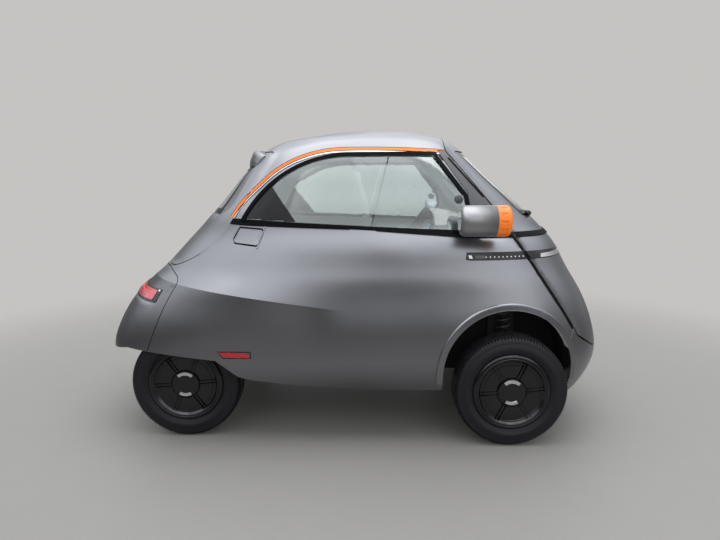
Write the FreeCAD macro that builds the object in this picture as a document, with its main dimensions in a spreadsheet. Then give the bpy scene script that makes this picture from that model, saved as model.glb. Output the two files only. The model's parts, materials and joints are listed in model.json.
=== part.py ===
import FreeCAD, Part
import Sketcher
import math
import os
import re

# A two-seat bubble microcar that is entered through its front door.
# Millimetres. +X points forward, +Y to the car's left, +Z up.
# The origin lies on the ground under the middle of the car.

doc = FreeCAD.newDocument("Microcar")
sheet = doc.addObject("Spreadsheet::Sheet", "Sizes")
Vector = FreeCAD.Vector

sizes = [
    # overall
    ("overallLength", 2519), ("overallWidth", 1473), ("overallHeight", 1501),
    ("wallThickness", 45), ("roofThickness", 40), ("movingGap", 6), ("seam", 0.3), ("overrun", 400),
    # tyres and wheels
    ("frontAxleX", 719), ("rearAxleX", -839), ("frontTrack", 1238), ("rearTrack", 1034),
    ("tyreRadius", 266.5), ("tyreHalfWidth", 72.5), ("treadHalfWidth", 50), ("flangeSeatRadius", 184),
    ("sidewallInset", 3.5), ("rimRadius", 158), ("rimWall", 5), ("rimHalfWidth", 60),
    ("flangeRadius", 176), ("flangeThickness", 5), ("discOffset", 16), ("discThickness", 7),
    ("hubRadius", 42), ("hubStart", 8), ("hubEnd", 34), ("spindleRadius", 20), ("spindleOverhang", 4),
    ("runningFit", 0.3), ("coverRadius", 182), ("coverStepRadius", 155), ("coverInnerRadius", 149),
    ("coverFaceOffset", 71), ("coverDishOffset", 58), ("coverThickness", 4), ("capRadius", 66),
    ("capHeight", 9), ("coverRibWidth", 7), ("coverRibHeight", 6), ("coverRibGap", 15), ("coverRibPairs", 6),
    # wheel arches
    ("archSetback", 17), ("archLift", 83.5), ("archClear", 41.5), ("archInboard", 213), ("linerThickness", 6),
    ("pocketClear", 25.5), ("pocketSideClear", 6.5), ("pocketWidth", 216), ("pocketSkin", 9),
    # front suspension and steering
    ("kingpinInset", 10), ("ballJointSpread", 92), ("knuckleWidth", 54), ("knuckleDepth", 26),
    ("ballPinRadius", 8), ("ballPinLength", 22), ("armEyeRadius", 20), ("armEyeHeight", 14),
    ("wishboneRadius", 11), ("wishboneSpread", 96), ("steeringArmLength", 95), ("eyeClear", 4),
    ("steeringArmThickness", 12), ("steeringArmWidth", 26), ("steeringArmDrop", 44),
    ("bushRadius", 15), ("bushLength", 30),
    ("subframeLength", 190), ("subframeSideInset", 34), ("subframeHeight", 62), ("subframeBottom", 152),
    ("towerWidth", 130), ("towerThickness", 18), ("towerHeadroom", 22), ("towerBracketReach", 100),
    ("towerBracketThickness", 14), ("damperRadius", 20), ("springRadius", 34), ("damperOutboard", 64),
    ("springFootClear", 12), ("rackHousingRadius", 19), ("rackHousingHalfLength", 190), ("tieRodRadius", 8),
    ("tieRodEyeRadius", 15), ("tieRodEyeHeight", 12),
    # rear suspension and drive
    ("trailingPivotX", -500), ("trailingPivotHeight", 340), ("trailingArmInboard", 165),
    ("trailingArmRadius", 24), ("rearBeamRadius", 26), ("rearBeamX", -640), ("rearHubInboard", 109),
    ("rearHubRadius", 40), ("rearHubLength", 45), ("rearDamperX", -770), ("rearSpringRadius", 36),
    ("rearDamperFoot", 318),
    ("rearSpringFoot", 345), ("pivotBracketLength", 60), ("pivotBracketWidth", 64),
    ("pivotBracketHeight", 90), ("motorLength", 300), ("motorHalfWidth", 240), ("motorHeight", 230),
    ("motorBottom", 170), ("motorMountLength", 60), ("motorMountWidth", 40), ("driveShaftRadius", 14),
    # floor, battery and seat
    ("floorBottom", 290), ("floorThickness", 15), ("floorRearX", -470), ("rearFloorClear", 7.5),
    ("floorFrontX", 1215), ("bulkheadThickness", 15),
    ("batteryRearX", -330), ("batteryFrontX", 90), ("batterySideInset", 236.5), ("batteryHeight", 125),
    ("cushionRearX", -300), ("cushionFrontX", 150), ("cushionSideInset", 216.5), ("cushionThickness", 130),
    ("cushionRound", 40), ("backrestThickness", 110), ("backrestHeight", 490), ("backrestSideInset", 351.5),
    ("backrestLean", 16), ("backrestRound", 40),
    # steering column, display and pedals
    ("columnY", 215), ("steeringWheelX", 330), ("steeringWheelHeight", 935), ("steeringWheelRadius", 165),
    ("steeringWheelTube", 13), ("steeringClear", 6), ("steeringHubRadius", 42),
    ("steeringHubThickness", 34), ("spokeWidth", 30), ("spokeThickness", 10), ("shaftRadius", 10),
    ("shaftDepth", 60), ("columnTilt", 28), ("columnRadius", 24), ("columnLength", 250),
    ("postRadius", 26), ("postFootX", 640), ("postFlangeRadius", 50), ("postFlangeHeight", 14),
    ("displayWidth", 150), ("displayHeight", 86), ("displayThickness", 26), ("displayClear", 40),
    ("pedalWidth", 60), ("pedalHeight", 90), ("pedalThickness", 12), ("pedalX", 800),
    ("pedalSpacing", 110), ("pedalArmRadius", 7), ("pedalTop", 470), ("pedalClear", 30),
    # glass, trim and covers
    ("flankStartY", 200), ("glassDepth", 4), ("glassThickness", 5), ("frameProud", 2), ("frameDepth", 22),
    ("frameWidth", 17), ("beltProud", 5), ("stripeProud", 2), ("coverProud", 2), ("coverDepth", 8),
    ("windscreenLowSideInset", 300.5), ("windscreenTopSideInset", 340.5), ("windscreenLow", 1072),
    ("windscreenTop", 1392), ("windscreenCorner", 60),
    ("tailgateLowSideInset", 316.5), ("tailgateTopSideInset", 384.5), ("tailgateLow", 824),
    ("tailgateTop", 1386), ("tailgateCorner", 60),
    ("rearGlassLowSideInset", 384.5), ("rearGlassTopSideInset", 430.5), ("rearGlassLow", 1075),
    ("rearGlassTop", 1325), ("rearGlassCorner", 50),
    ("roofPanelRearX", -270), ("roofPanelFrontX", 330), ("roofPanelHalfWidth", 270),
    ("roofPanelCorner", 60), ("roofPanelThickness", 30),
    # tailgate lip and hinges
    ("tailgateHingeX", -520), ("tailgateHingeHeight", 1396), ("tailgateHingeY", 60),
    ("tailgateBarrelRadius", 9), ("tailgateBarrelLength", 34), ("tailgatePinRadius", 4),
    ("tailgateLeafLength", 70), ("tailgateLeafThickness", 14), ("tailgateLeafHeight", 50),
    ("lipHalfWidth", 300),
    # charge flap and socket
    ("flapThickness", 5), ("flapGap", 8), ("flapPocketDepth", 34), ("flapPinRadius", 2.5),
    ("flapPinOverlap", 9), ("flapBossRadius", 5), ("flapBossLength", 9), ("flapTabLength", 22),
    ("socketX", -537), ("socketHeight", 979), ("socketRadius", 28), ("socketBore", 20),
    ("socketDepth", 8), ("socketProud", 12),
    # door hinges and door bar
    ("hingeAhead", 25), ("hingeProud", 42.4), ("hingeBarrelRadius", 11), ("hingePinRadius", 6),
    ("hingeBarrelHeight", 26), ("lowerHingeHeight", 572), ("upperHingeHeight", 684),
    ("hingeFootLength", 55), ("hingeStrapThickness", 9), ("hingeFootSetback", 8), ("hingeClear", 1),
    ("doorBarX", 935), ("doorBarHeight", 795), ("doorBarRadius", 22),
    # wiper
    ("wiperY", 60), ("wiperHeight", 1044), ("wiperHubRadius", 13), ("wiperHubProud", 18),
    ("wiperArmEndY", -170), ("wiperArmEndHeight", 1084), ("wiperArmWidth", 12), ("wiperArmInner", 9),
    ("wiperArmOuter", 16), ("bladeLowY", -350), ("bladeHighY", 20), ("bladeHeight", 1079),
    ("bladeWidth", 9), ("bladeClear", 2), ("bladeThickness", 9), ("bladeLinkWidth", 22),
    # lamps and mirrors
    ("podX", 455), ("podLength", 161), ("podRadius", 70), ("podHeight", 1064),
    ("podRear", 26), ("podRingLength", 62), ("podRingWall", 13), ("podRingRound", 16),
    ("podRingSlots", 12), ("podSlotWidth", 5), ("podSlotLength", 24), ("podSlotDepth", 3),
    ("podSlotSetback", 14), ("podArmRadius", 24), ("podArmX", 560), ("mirrorRadius", 43),
    ("mirrorThickness", 3), ("lensSetback", 10), ("lightBarDepth", 14), ("lightBarProud", 1),
    ("lampDepth", 16), ("lampProud", 2),
]
for row, (alias, length) in enumerate(sizes, start=1):
    sheet.set("A%d" % row, alias)
    sheet.set("B%d" % row, str(length))
    sheet.setAlias("B%d" % row, alias)
doc.recompute()


def size(alias):
    return float(getattr(sheet, alias))


halfLength = size("overallLength") / 2
halfWidth = size("overallWidth") / 2
height = size("overallHeight")
wall = size("wallThickness")
seam = size("seam")
overrun = size("overrun")
# Where the running gear puts the arches, the pockets and the rear floor
frontY = size("frontTrack") / 2
rearY = size("rearTrack") / 2
archInnerY = frontY - size("archInboard")
pocketY = rearY + size("tyreHalfWidth") + size("pocketSideClear")
pocketRadius = size("tyreRadius") + size("pocketClear")
rearFloorBottom = size("tyreRadius") + pocketRadius + size("rearFloorClear")
nodes = []


def node(item, label):
    item.Label = label
    nodes.append(item)
    return item


def feature(name, shape):
    item = doc.addObject("Part::Feature", name)
    item.Shape = outward(shape) if len(shape.Solids) == 1 else shape
    return item


# The skin is a loft through level outlines. Each row gives, as shares of the
# height, half length and half width: level, nose, tail, half width and the
# place of the widest point, then the squareness of the front and rear curves,
# the rearward taper, and the swell of the front fender and the rear haunch.
levelShares = [
    (0.110, 0.889, -0.897, 0.815, 0.445, 3.0, 6.0, 0.03, 0.000, 0.000),
    (0.160, 0.945, -0.960, 0.895, 0.445, 3.0, 5.6, 0.03, 0.004, 0.000),
    (0.220, 0.984, -0.990, 0.928, 0.445, 3.0, 5.9, 0.04, 0.016, 0.006),
    (0.283, 0.999, -0.999, 0.937, 0.445, 3.0, 5.9, 0.04, 0.027, 0.016),
    (0.346, 0.984, -0.983, 0.936, 0.445, 3.0, 5.7, 0.05, 0.031, 0.026),
    (0.425, 0.950, -0.940, 0.922, 0.433, 3.0, 5.2, 0.08, 0.024, 0.034),
    (0.490, 0.912, -0.883, 0.900, 0.405, 2.9, 4.3, 0.11, 0.012, 0.016),
    (0.553, 0.870, -0.808, 0.873, 0.357, 2.8, 3.6, 0.14, 0.003, 0.000),
    (0.605, 0.839, -0.755, 0.847, 0.310, 2.8, 3.2, 0.15, 0.000, 0.000),
    (0.640, 0.812, -0.718, 0.820, 0.270, 2.8, 3.0, 0.15, 0.000, 0.000),
    (0.672, 0.778, -0.682, 0.784, 0.235, 2.8, 3.0, 0.14, 0.000, 0.000),
    (0.722, 0.718, -0.629, 0.757, 0.200, 2.8, 3.0, 0.13, 0.000, 0.000),
    (0.780, 0.639, -0.570, 0.731, 0.165, 2.9, 3.0, 0.12, 0.000, 0.000),
    (0.826, 0.572, -0.526, 0.709, 0.135, 3.0, 3.0, 0.11, 0.000, 0.000),
    (0.879, 0.502, -0.470, 0.682, 0.103, 3.0, 3.0, 0.10, 0.000, 0.000),
    (0.919, 0.451, -0.419, 0.652, 0.079, 3.0, 3.0, 0.09, 0.000, 0.000),
    (0.949, 0.409, -0.365, 0.606, 0.071, 3.0, 2.9, 0.08, 0.000, 0.000),
    (0.973, 0.362, -0.270, 0.522, 0.071, 2.8, 2.7, 0.05, 0.000, 0.000),
    (0.988, 0.300, -0.170, 0.410, 0.071, 2.7, 2.6, 0.03, 0.000, 0.000),
    (0.9965, 0.215, -0.070, 0.255, 0.071, 2.6, 2.5, 0.01, 0.000, 0.000),
    (1.0000, 0.130, 0.020, 0.110, 0.071, 2.5, 2.5, 0.00, 0.000, 0.000),
]
fenderCentreShare = 0.556
fenderSpreadShare = 0.238
haunchStartShare = -0.445
haunchSpreadShare = 0.087
ringSteps = 8
# A drawn-in outline keeps at least this share of its reach
leastShare = 0.6
# The outline whose point spacing the others follow
guideRow = 5


# One closed level outline, drawn in by the inset and lowered near the roof.
def levelRing(row, inset, drop):
    level, nose, tail, wide, widest, frontPower, rearPower, taper, flare, haunch = row
    midX = widest * halfLength
    noseX = max(nose * halfLength - inset, midX + (nose * halfLength - midX) * leastShare)
    tailX = min(tail * halfLength + inset, midX + (tail * halfLength - midX) * leastShare)
    wideY = max(wide * halfWidth - inset, wide * halfWidth * leastShare)
    levelZ = level * height
    levelZ -= drop * (level - levelShares[0][0]) / (levelShares[-1][0] - levelShares[0][0])
    side = []
    for step in range(2 * ringSteps + 1):
        angle = math.pi * step / (2 * ringSteps)
        along = abs(math.cos(angle))
        across = max(math.sin(angle), 0)
        if step <= ringSteps:
            x = midX + (noseX - midX) * along ** (2 / frontPower)
            y = wideY * across ** (2 / frontPower)
        else:
            x = midX - (midX - tailX) * along ** (2 / rearPower)
            back = (midX - x) / (midX - tailX)
            y = wideY * across ** (2 / rearPower) * (1 - taper * back * back)
        swell = flare * math.exp(-((x / halfLength - fenderCentreShare) / fenderSpreadShare) ** 2)
        swell += haunch / (1 + math.exp((x / halfLength - haunchStartShare) / haunchSpreadShare))
        if step in (0, 2 * ringSteps):
            y = 0
        else:
            y += swell * halfWidth * min(1, 2 * across)
        side.append(Vector(x, y, levelZ))
    other = [Vector(point.x, -point.y, point.z) for point in reversed(side[1:-1])]
    return side + other


def ringParameters(points):
    lengths = [0]
    for begin, finish in zip(points, points[1:] + points[:1]):
        lengths.append(lengths[-1] + begin.distanceToPoint(finish))
    return [length / lengths[-1] for length in lengths]


sharedParameters = ringParameters(levelRing(levelShares[guideRow], 0, 0))


def ringWire(points):
    curve = Part.BSplineCurve()
    curve.interpolate(Points=points, Parameters=sharedParameters, PeriodicFlag=True)
    return Part.Wire(curve.toShape())


skinCache = {}


# The solid inside the skin drawn in by an inset; a negative inset stands proud.
def skin(inset):
    if inset not in skinCache:
        drop = inset * size("roofThickness") / wall
        rings = [ringWire(levelRing(row, inset, drop)) for row in levelShares]
        skinCache[inset] = Part.makeLoft(rings, True, False)
    return skinCache[inset]


# Where a line across the car meets the skin on the car's left
def skinY(x, z):
    line = Part.makeLine(Vector(x, 0, z), Vector(x, halfWidth + overrun, z))
    return max(vertex.Y for vertex in line.common(skin(0)).Vertexes)


# Where a line along the car meets the skin behind
def skinTailX(y, z):
    line = Part.makeLine(Vector(0, y, z), Vector(-halfLength - overrun, y, z))
    return min(vertex.X for vertex in line.common(skin(0)).Vertexes)


# Points of a side outline, given as shares of the half length and the height.
def sidePoints(shares):
    return [Vector(x * halfLength, 0, z * height) for x, z in shares]


def roundedWire(points, radii):
    edges = []
    count = len(points)
    starts = []
    ends = []
    for index in range(count):
        corner = points[index]
        toLast = (points[index - 1] - corner).normalize()
        toNext = (points[(index + 1) % count] - corner).normalize()
        radius = radii[index]
        if radius == 0:
            starts.append(corner)
            ends.append(corner)
            continue
        half = toLast.getAngle(toNext) / 2
        reach = radius / math.tan(half)
        middle = corner + (toLast + toNext).normalize() * (radius / math.sin(half) - radius)
        starts.append(corner + toLast * reach)
        ends.append(corner + toNext * reach)
        edges.append(Part.Arc(starts[-1], middle, ends[-1]).toShape())
    for index in range(count):
        begin = ends[index]
        finish = starts[(index + 1) % count]
        if begin.distanceToPoint(finish) > size("seam") / 100:
            edges.append(Part.LineSegment(begin, finish).toShape())
    return Part.Wire(Part.sortEdges(edges)[0])


# An extrusion against its face's normal comes out inside out, so it is turned.
def outward(solid):
    if solid.Volume < 0:
        solid.reverse()
    return solid


# A prism across the car from a side outline, over one side or both.
def sidePrism(wire, lowY, highY):
    face = Part.Face(wire)
    face.translate(Vector(0, lowY, 0))
    return outward(face.extrude(Vector(0, highY - lowY, 0)))


def widePrism(shares, radii=None):
    points = sidePoints(shares)
    wire = roundedWire(points, radii or [0] * len(points))
    return sidePrism(wire, -halfWidth - overrun, halfWidth + overrun)


def moved(shape, x, y, z):
    copy = shape.copy()
    copy.translate(Vector(x, y, z))
    return copy


def mirrored(shape):
    return shape.mirror(Vector(0, 0, 0), Vector(0, 1, 0))


def bothSides(shape):
    return Part.makeCompound([shape, mirrored(shape)])


def layer(prism, outerInset, innerInset):
    return prism.common(skin(outerInset)).cut(skin(innerInset))


# A prism along the car from an upright rounded trapezium, seen from the front.
def endPrism(lowInset, topInset, low, top, corner, grow, startX, endX):
    lowHalf = halfWidth - lowInset
    topHalf = halfWidth - topInset
    points = [
        Vector(startX, -lowHalf - grow, low - grow), Vector(startX, lowHalf + grow, low - grow),
        Vector(startX, topHalf + grow, top + grow), Vector(startX, -topHalf - grow, top + grow),
    ]
    wire = roundedWire(points, [corner + grow] * len(points))
    return outward(Part.Face(wire).extrude(Vector(endX - startX, 0, 0)))


# Regions that part the skin into its panels
beltSplitShares = [
    (-1.3, 0.703), (-0.58, 0.699), (0.03, 0.683), (0.38, 0.663), (1.3, 0.659), (1.3, 1.2), (-1.3, 1.2),
]
doorShares = [
    (0.337, 1.1), (0.337, 0.927), (0.540, 0.725), (0.833, 0.346), (0.930, 0.293), (1.3, 0.283), (1.3, 1.1),
]
doorCornerShares = [0, 0.03, 0.266, 0.015, 0.04, 0, 0]
bumperShares = [(0.782, 0.05), (0.782, 0.308), (0.808, 0.373), (0.85, 0.42), (1.3, 0.42), (1.3, 0.05)]
undersideShares = [
    (-1.3, 0.262), (-0.985, 0.283), (-0.881, 0.301), (-0.753, 0.293), (-0.527, 0.276), (-0.445, 0.223),
    (-0.397, 0.212), (-0.217, 0.196), (0.027, 0.184), (0.313, 0.184), (0.56, 0.184), (0.56, 0.05),
    (-1.3, 0.05),
]
rearCapShares = [(-1.3, 0.543), (-0.774, 0.543), (-0.692, 0.510), (-0.8035, 0.274), (-0.84, 0.2), (-1.3, 0.2)]
rearCapCornerShares = [0, 0, 0.033, 0, 0, 0]
beltShares = [
    (-1.3, 0.696), (-0.593, 0.691), (-0.432, 0.686), (0.024, 0.678), (0.378, 0.657), (0.9, 0.655),
    (0.9, 0.669), (0.377, 0.669), (-0.431, 0.705), (-0.581, 0.708), (-1.3, 0.713),
]
pillarShares = [
    (0.301, 0.9225), (0.339, 0.926), (0.5345, 0.7215), (0.562, 0.674), (0.404, 0.674), (0.4215, 0.739),
    (0.4145, 0.787),
]
sideStripShares = [(0.393, 0.589), (0.397, 0.611), (0.68, 0.611), (0.68, 0.587), (0.41, 0.586)]
doorStripShares = [(0.6, 0.587), (0.6, 0.611), (1.3, 0.611), (1.3, 0.587)]
tailLampShares = [(-0.886, 0.478), (-0.765, 0.449), (-0.780, 0.443), (-0.905, 0.455)]
tailLampCornerShares = [0.008, 0.003, 0.008, 0.008]
reflectorShares = [(-0.520, 0.3065), (-0.404, 0.300), (-0.394, 0.284), (-0.496, 0.2895)]
flapShares = [(-0.464, 0.681), (-0.354, 0.677), (-0.379, 0.619), (-0.498, 0.627)]
flapCornerShares = [0.010, 0.012, 0.014, 0.014]
paneSplitShares = [(0.0195, 0.6), (0.1265, 0.95), (0.1305, 0.95), (0.0235, 0.6)]
stripeLowShares = [(-0.478, 0.709), (-0.300, 0.862), (-0.096, 0.9175), (0.151, 0.9195), (0.338, 0.910)]
stripeHighShares = [(-0.500, 0.713), (-0.311, 0.873), (-0.096, 0.9285), (0.151, 0.9295), (0.338, 0.921)]
lipShares = [
    (-0.4257, 0.9127), (-0.4273, 0.9314), (-0.4432, 0.9340), (-0.4543, 0.9274), (-0.4686, 0.8994),
    (-0.4718, 0.8781),
]
# Places across the lip, as shares of its half width, with how full it is there
lipSections = [(-1, 0.3), (-0.8, 0.85), (0, 1), (0.8, 0.85), (1, 0.3)]
roofPanelBaseShare = 0.9
endPrismShare = 0.25


def cornered(shares):
    return [share * height for share in shares]


# Where the door gap lies at a height, read from the door's straight side edge
def doorGapX(level):
    (topX, topZ), (lowX, lowZ) = doorShares[2], doorShares[3]
    share = (level / height - topZ) / (lowZ - topZ)
    return (topX + (lowX - topX) * share) * halfLength


gap = size("movingGap")
doorRegion = widePrism(doorShares, cornered(doorCornerShares))
doorClear = moved(doorRegion, -gap, 0, -gap)
bumperRegion = widePrism(bumperShares)
underside = widePrism(undersideShares)
rearCapRegion = widePrism(rearCapShares, cornered(rearCapCornerShares))
beltSplit = widePrism(beltSplitShares)
beltRegion = widePrism(beltShares)


# A prism on one side only, from the middle plane's share outward
def flankPrism(shares, radii=None, grow=0):
    points = sidePoints(shares)
    wire = roundedWire(points, radii or [0] * len(points))
    if grow:
        wire = wire.makeOffset2D(grow, 0, False, False, True)
    return sidePrism(wire, size("flankStartY"), halfWidth + overrun)


def cylinderAlong(axis, radius, length, x, y, z):
    return Part.makeCylinder(radius, length, Vector(x, y, z), axis)


acrossCar = Vector(0, 1, 0)
archX = size("frontAxleX") - size("archSetback")
archZ = size("tyreRadius") + size("archLift")
archRadius = size("tyreRadius") + size("archClear")


# The space over a front wheel: a half round on straight feet
def archSpace(radius, startY, endY):
    top = cylinderAlong(acrossCar, radius, endY - startY, archX, startY, archZ)
    foot = Part.makeBox(2 * radius, endY - startY, archZ, Vector(archX - radius, startY, 0))
    return top.fuse(foot).removeSplitter()


archOpening = archSpace(archRadius, archInnerY, halfWidth + overrun)
rearPocket = cylinderAlong(
    acrossCar, pocketRadius, size("pocketWidth"), size("rearAxleX"), pocketY - size("pocketWidth"),
    size("tyreRadius"))
rearPocket = rearPocket.common(skin(size("pocketSkin")))
wheelSpace = [archOpening, mirrored(archOpening), rearPocket, mirrored(rearPocket)]

shell = skin(0).cut(skin(wall))
tailgateNames = [
    "tailgateLowSideInset", "tailgateTopSideInset", "tailgateLow", "tailgateTop", "tailgateCorner"]
tailgateSizes = [size(name) for name in tailgateNames]
endReach = halfLength * endPrismShare
tailgateRegion = endPrism(*tailgateSizes, 0, -halfLength - overrun, -endReach)
tailgateClear = endPrism(*tailgateSizes, gap, -halfLength - overrun, -endReach)

# Side windows
windowTopShares = [(-0.445, 0.705), (-0.290, 0.842), (-0.0405, 0.9055)]
windowCornerShares = [(0.284, 0.908), (0.400, 0.780), (0.4065, 0.738), (0.372, 0.676)]


def windowWire(grow):
    first, second, third = sidePoints(windowTopShares)
    edges = [Part.Arc(first, second, third).toShape()]
    chain = [third] + sidePoints(windowCornerShares) + [first]
    for begin, finish in zip(chain, chain[1:]):
        edges.append(Part.LineSegment(begin, finish).toShape())
    wire = Part.Wire(edges)
    if grow == 0:
        return wire
    return wire.makeOffset2D(grow, 0, False, False, True)


def windowPrism(grow):
    return sidePrism(windowWire(grow), size("flankStartY"), halfWidth + overrun)


frameWidth = size("frameWidth")
frameOuter = windowPrism(frameWidth)
frameInner = windowPrism(0)
glassPrism = windowPrism(-seam)


# A recess from outside down to a depth below the skin
def recess(prism, depth):
    return prism.cut(skin(depth + seam))


def both(shape):
    return [shape, mirrored(shape)]


pillarPrism = flankPrism(pillarShares)
sideStripPrism = flankPrism(sideStripShares)
doorStripPrism = widePrism(doorStripShares)
tailLampPrism = flankPrism(tailLampShares, cornered(tailLampCornerShares))
reflectorPrism = flankPrism(reflectorShares)
flapHole = mirrored(flankPrism(flapShares, cornered(flapCornerShares)))
flapPrism = mirrored(flankPrism(flapShares, cornered(flapCornerShares), -size("flapGap")))


def rodBetween(radius, begin, finish):
    return Part.makeCylinder(radius, begin.distanceToPoint(finish), begin, finish - begin)


# The charge flap's hinge line: along the middle of its front gap, on the skin
flapFront = sidePoints([flapShares[2], flapShares[1]])
flapRise = (flapFront[1] - flapFront[0]).normalize()
flapSetback = Vector(flapRise.z, 0, -flapRise.x) * (size("flapGap") / 2)
flapLine = [point - flapSetback for point in flapFront]
flapLow, flapTop = [Vector(point.x, -skinY(point.x, point.z), point.z) for point in flapLine]
flapWay = (flapTop - flapLow).normalize()
flapMiddle = (flapLow + flapTop) / 2
tabEnd = flapMiddle - flapSetback.normalize() * size("flapTabLength")
tabEnd.y = -skinY(tabEnd.x, tabEnd.z) + size("flapThickness") / 2
flapPinLow = flapLow - flapWay * size("flapPinOverlap")
flapPinTop = flapTop + flapWay * size("flapPinOverlap")
bossLow = rodBetween(size("flapBossRadius"), flapLow, flapLow - flapWay * size("flapBossLength"))
bossTop = rodBetween(size("flapBossRadius"), flapTop, flapTop + flapWay * size("flapBossLength"))
flapBore = rodBetween(
    size("flapPinRadius") + size("runningFit"), flapPinLow - flapWay * seam, flapPinTop + flapWay * seam)

roofPanelBase = height * roofPanelBaseShare


def roofPrism(grow):
    rear = size("roofPanelRearX") - grow
    front = size("roofPanelFrontX") + grow
    side = size("roofPanelHalfWidth") + grow
    corners = [(rear, -side), (front, -side), (front, side), (rear, side)]
    wire = roundedWire(
        [Vector(x, y, roofPanelBase) for x, y in corners], [size("roofPanelCorner")] * len(corners))
    return Part.Face(wire).extrude(Vector(0, 0, height))


roofHole = roofPrism(0)

# Tailgate hinges: a barrel on a block of the roof's edge, and beside it one
# that stands on the tailgate and carries the pin
tailgateHingeX = size("tailgateHingeX")
tailgateHingeZ = size("tailgateHingeHeight")
tailgateBarrel = size("tailgateBarrelRadius")
barrelLength = size("tailgateBarrelLength")
fixedBarrelY = size("tailgateHingeY")
movingBarrelY = fixedBarrelY + barrelLength + size("hingeClear")
tailgatePin = size("tailgatePinRadius")
fixedBarrel = cylinderAlong(
    acrossCar, tailgateBarrel, barrelLength, tailgateHingeX, fixedBarrelY, tailgateHingeZ)
fixedFoot = size("tailgateTop") + gap + seam
fixedBlock = Part.makeBox(
    size("tailgateLeafLength"), barrelLength, tailgateHingeZ + tailgateBarrel - fixedFoot,
    Vector(tailgateHingeX, fixedBarrelY, fixedFoot))
pinBore = cylinderAlong(
    acrossCar, tailgatePin + size("runningFit"), barrelLength, tailgateHingeX, fixedBarrelY, tailgateHingeZ)
roofHinge = fixedBarrel.fuse(fixedBlock).cut(pinBore)
movingBarrel = cylinderAlong(
    acrossCar, tailgateBarrel, barrelLength, tailgateHingeX, movingBarrelY, tailgateHingeZ)
movingLeaf = Part.makeBox(
    size("tailgateLeafThickness"), barrelLength, size("tailgateLeafHeight"),
    Vector(tailgateHingeX - tailgateBarrel, movingBarrelY, tailgateHingeZ - size("tailgateLeafHeight")))
pin = cylinderAlong(
    acrossCar, tailgatePin, 2 * barrelLength + size("hingeClear"), tailgateHingeX, fixedBarrelY,
    tailgateHingeZ)
gateHinge = movingBarrel.fuse([movingLeaf, pin])

bodySkin = shell.cut([doorClear, tailgateClear])
upperCuts = [roofHole] + both(frameOuter) + both(recess(pillarPrism, size("coverDepth")))
upperBody = bodySkin.common(beltSplit).cut(upperCuts).fuse(both(roofHinge))
node(feature("UpperBody", upperBody.removeSplitter()), "upper_body")
lowerBody = bodySkin.cut([beltSplit, underside, bumperRegion, rearCapRegion])
lowerCuts = wheelSpace + both(frameOuter) + [recess(flapHole, size("flapPocketDepth"))]
lowerCuts += both(recess(sideStripPrism, size("lightBarDepth")))
lowerCuts += both(recess(reflectorPrism, size("coverDepth")))
lowerBody = lowerBody.cut(lowerCuts).fuse([bossLow, bossTop]).cut(flapBore)
node(feature("LowerBody", lowerBody), "lower_body")
node(feature("FrontBumper", shell.common(bumperRegion).cut([doorClear] + wheelSpace)), "front_bumper")
rearCap = shell.common(rearCapRegion).cut([underside, tailgateClear] + wheelSpace)
rearCap = rearCap.cut(both(recess(tailLampPrism, size("lampDepth"))))
node(feature("RearBumper", rearCap), "rear_bumper")
node(feature("RoofPanel", layer(roofPrism(-seam), 0, size("roofPanelThickness"))), "roof_panel")

windscreenNames = [
    "windscreenLowSideInset", "windscreenTopSideInset", "windscreenLow", "windscreenTop", "windscreenCorner",
]
windscreenSizes = [size(name) for name in windscreenNames]
windscreenHole = endPrism(*windscreenSizes, 0, endReach, halfLength + overrun)
windscreenPrism = endPrism(*windscreenSizes, -seam, endReach, halfLength + overrun)
frontDoor = shell.common(doorRegion).cut([windscreenHole, recess(doorStripPrism, size("lightBarDepth"))])
node(feature("FrontDoor", frontDoor), "front_door")
glassInset = size("glassDepth")
glassBack = glassInset + size("glassThickness")
node(feature("Windscreen", layer(windscreenPrism, glassInset, glassBack)), "windscreen")
rearGlassNames = [
    "rearGlassLowSideInset", "rearGlassTopSideInset", "rearGlassLow", "rearGlassTop", "rearGlassCorner",
]
rearGlassSizes = [size(name) for name in rearGlassNames]
rearGlassHole = endPrism(*rearGlassSizes, 0, -halfLength - overrun, -endReach)
rearGlassPrism = endPrism(*rearGlassSizes, -seam, -halfLength - overrun, -endReach)
tailgate = shell.common(tailgateRegion).cut(rearGlassHole).fuse(both(gateHinge))
node(feature("Tailgate", tailgate.removeSplitter()), "tailgate")
node(feature("RearWindow", layer(rearGlassPrism, glassInset, glassBack)), "rear_window")
panelGaps = [doorClear, tailgateClear]
sideFrame = layer(windowPrism(frameWidth - seam), -size("frameProud"), size("frameDepth"))
sideFrame = sideFrame.cut([frameInner] + panelGaps)
node(feature("SideWindowFrames", bothSides(sideFrame)), "side_window_frames")
paneSplit = flankPrism(paneSplitShares)
sideGlass = layer(glassPrism, glassInset, glassBack)
node(feature("SideWindows", bothSides(sideGlass.cut(paneSplit))), "side_windows")

# Trim that lies on the skin or in it
beltBand = layer(beltRegion, -size("beltProud"), -seam).cut(both(frameOuter))
node(feature("BeltTrim", beltBand.cut(panelGaps + both(pillarPrism))), "belt_trim")
node(feature("DoorBeltTrim", beltBand.common(doorRegion)), "door_belt_trim")
pillarPiece = flankPrism(pillarShares, grow=-seam)
pillarCover = layer(pillarPiece, -size("coverProud"), size("coverDepth")).cut([doorClear, frameOuter])
node(feature("PillarCovers", bothSides(pillarCover)), "pillar_covers")
lightProud = size("lightBarProud")
lightDepth = size("lightBarDepth")
sideStrip = layer(flankPrism(sideStripShares, grow=-seam), -lightProud, lightDepth).cut(doorClear)
node(feature("SideLightStrips", bothSides(sideStrip)), "side_light_strips")
doorStrip = layer(doorStripPrism, -lightProud, lightDepth).common(doorRegion)
node(feature("FrontLightBar", doorStrip), "front_light_bar")
tailLampPiece = flankPrism(tailLampShares, cornered(tailLampCornerShares), -seam)
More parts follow.
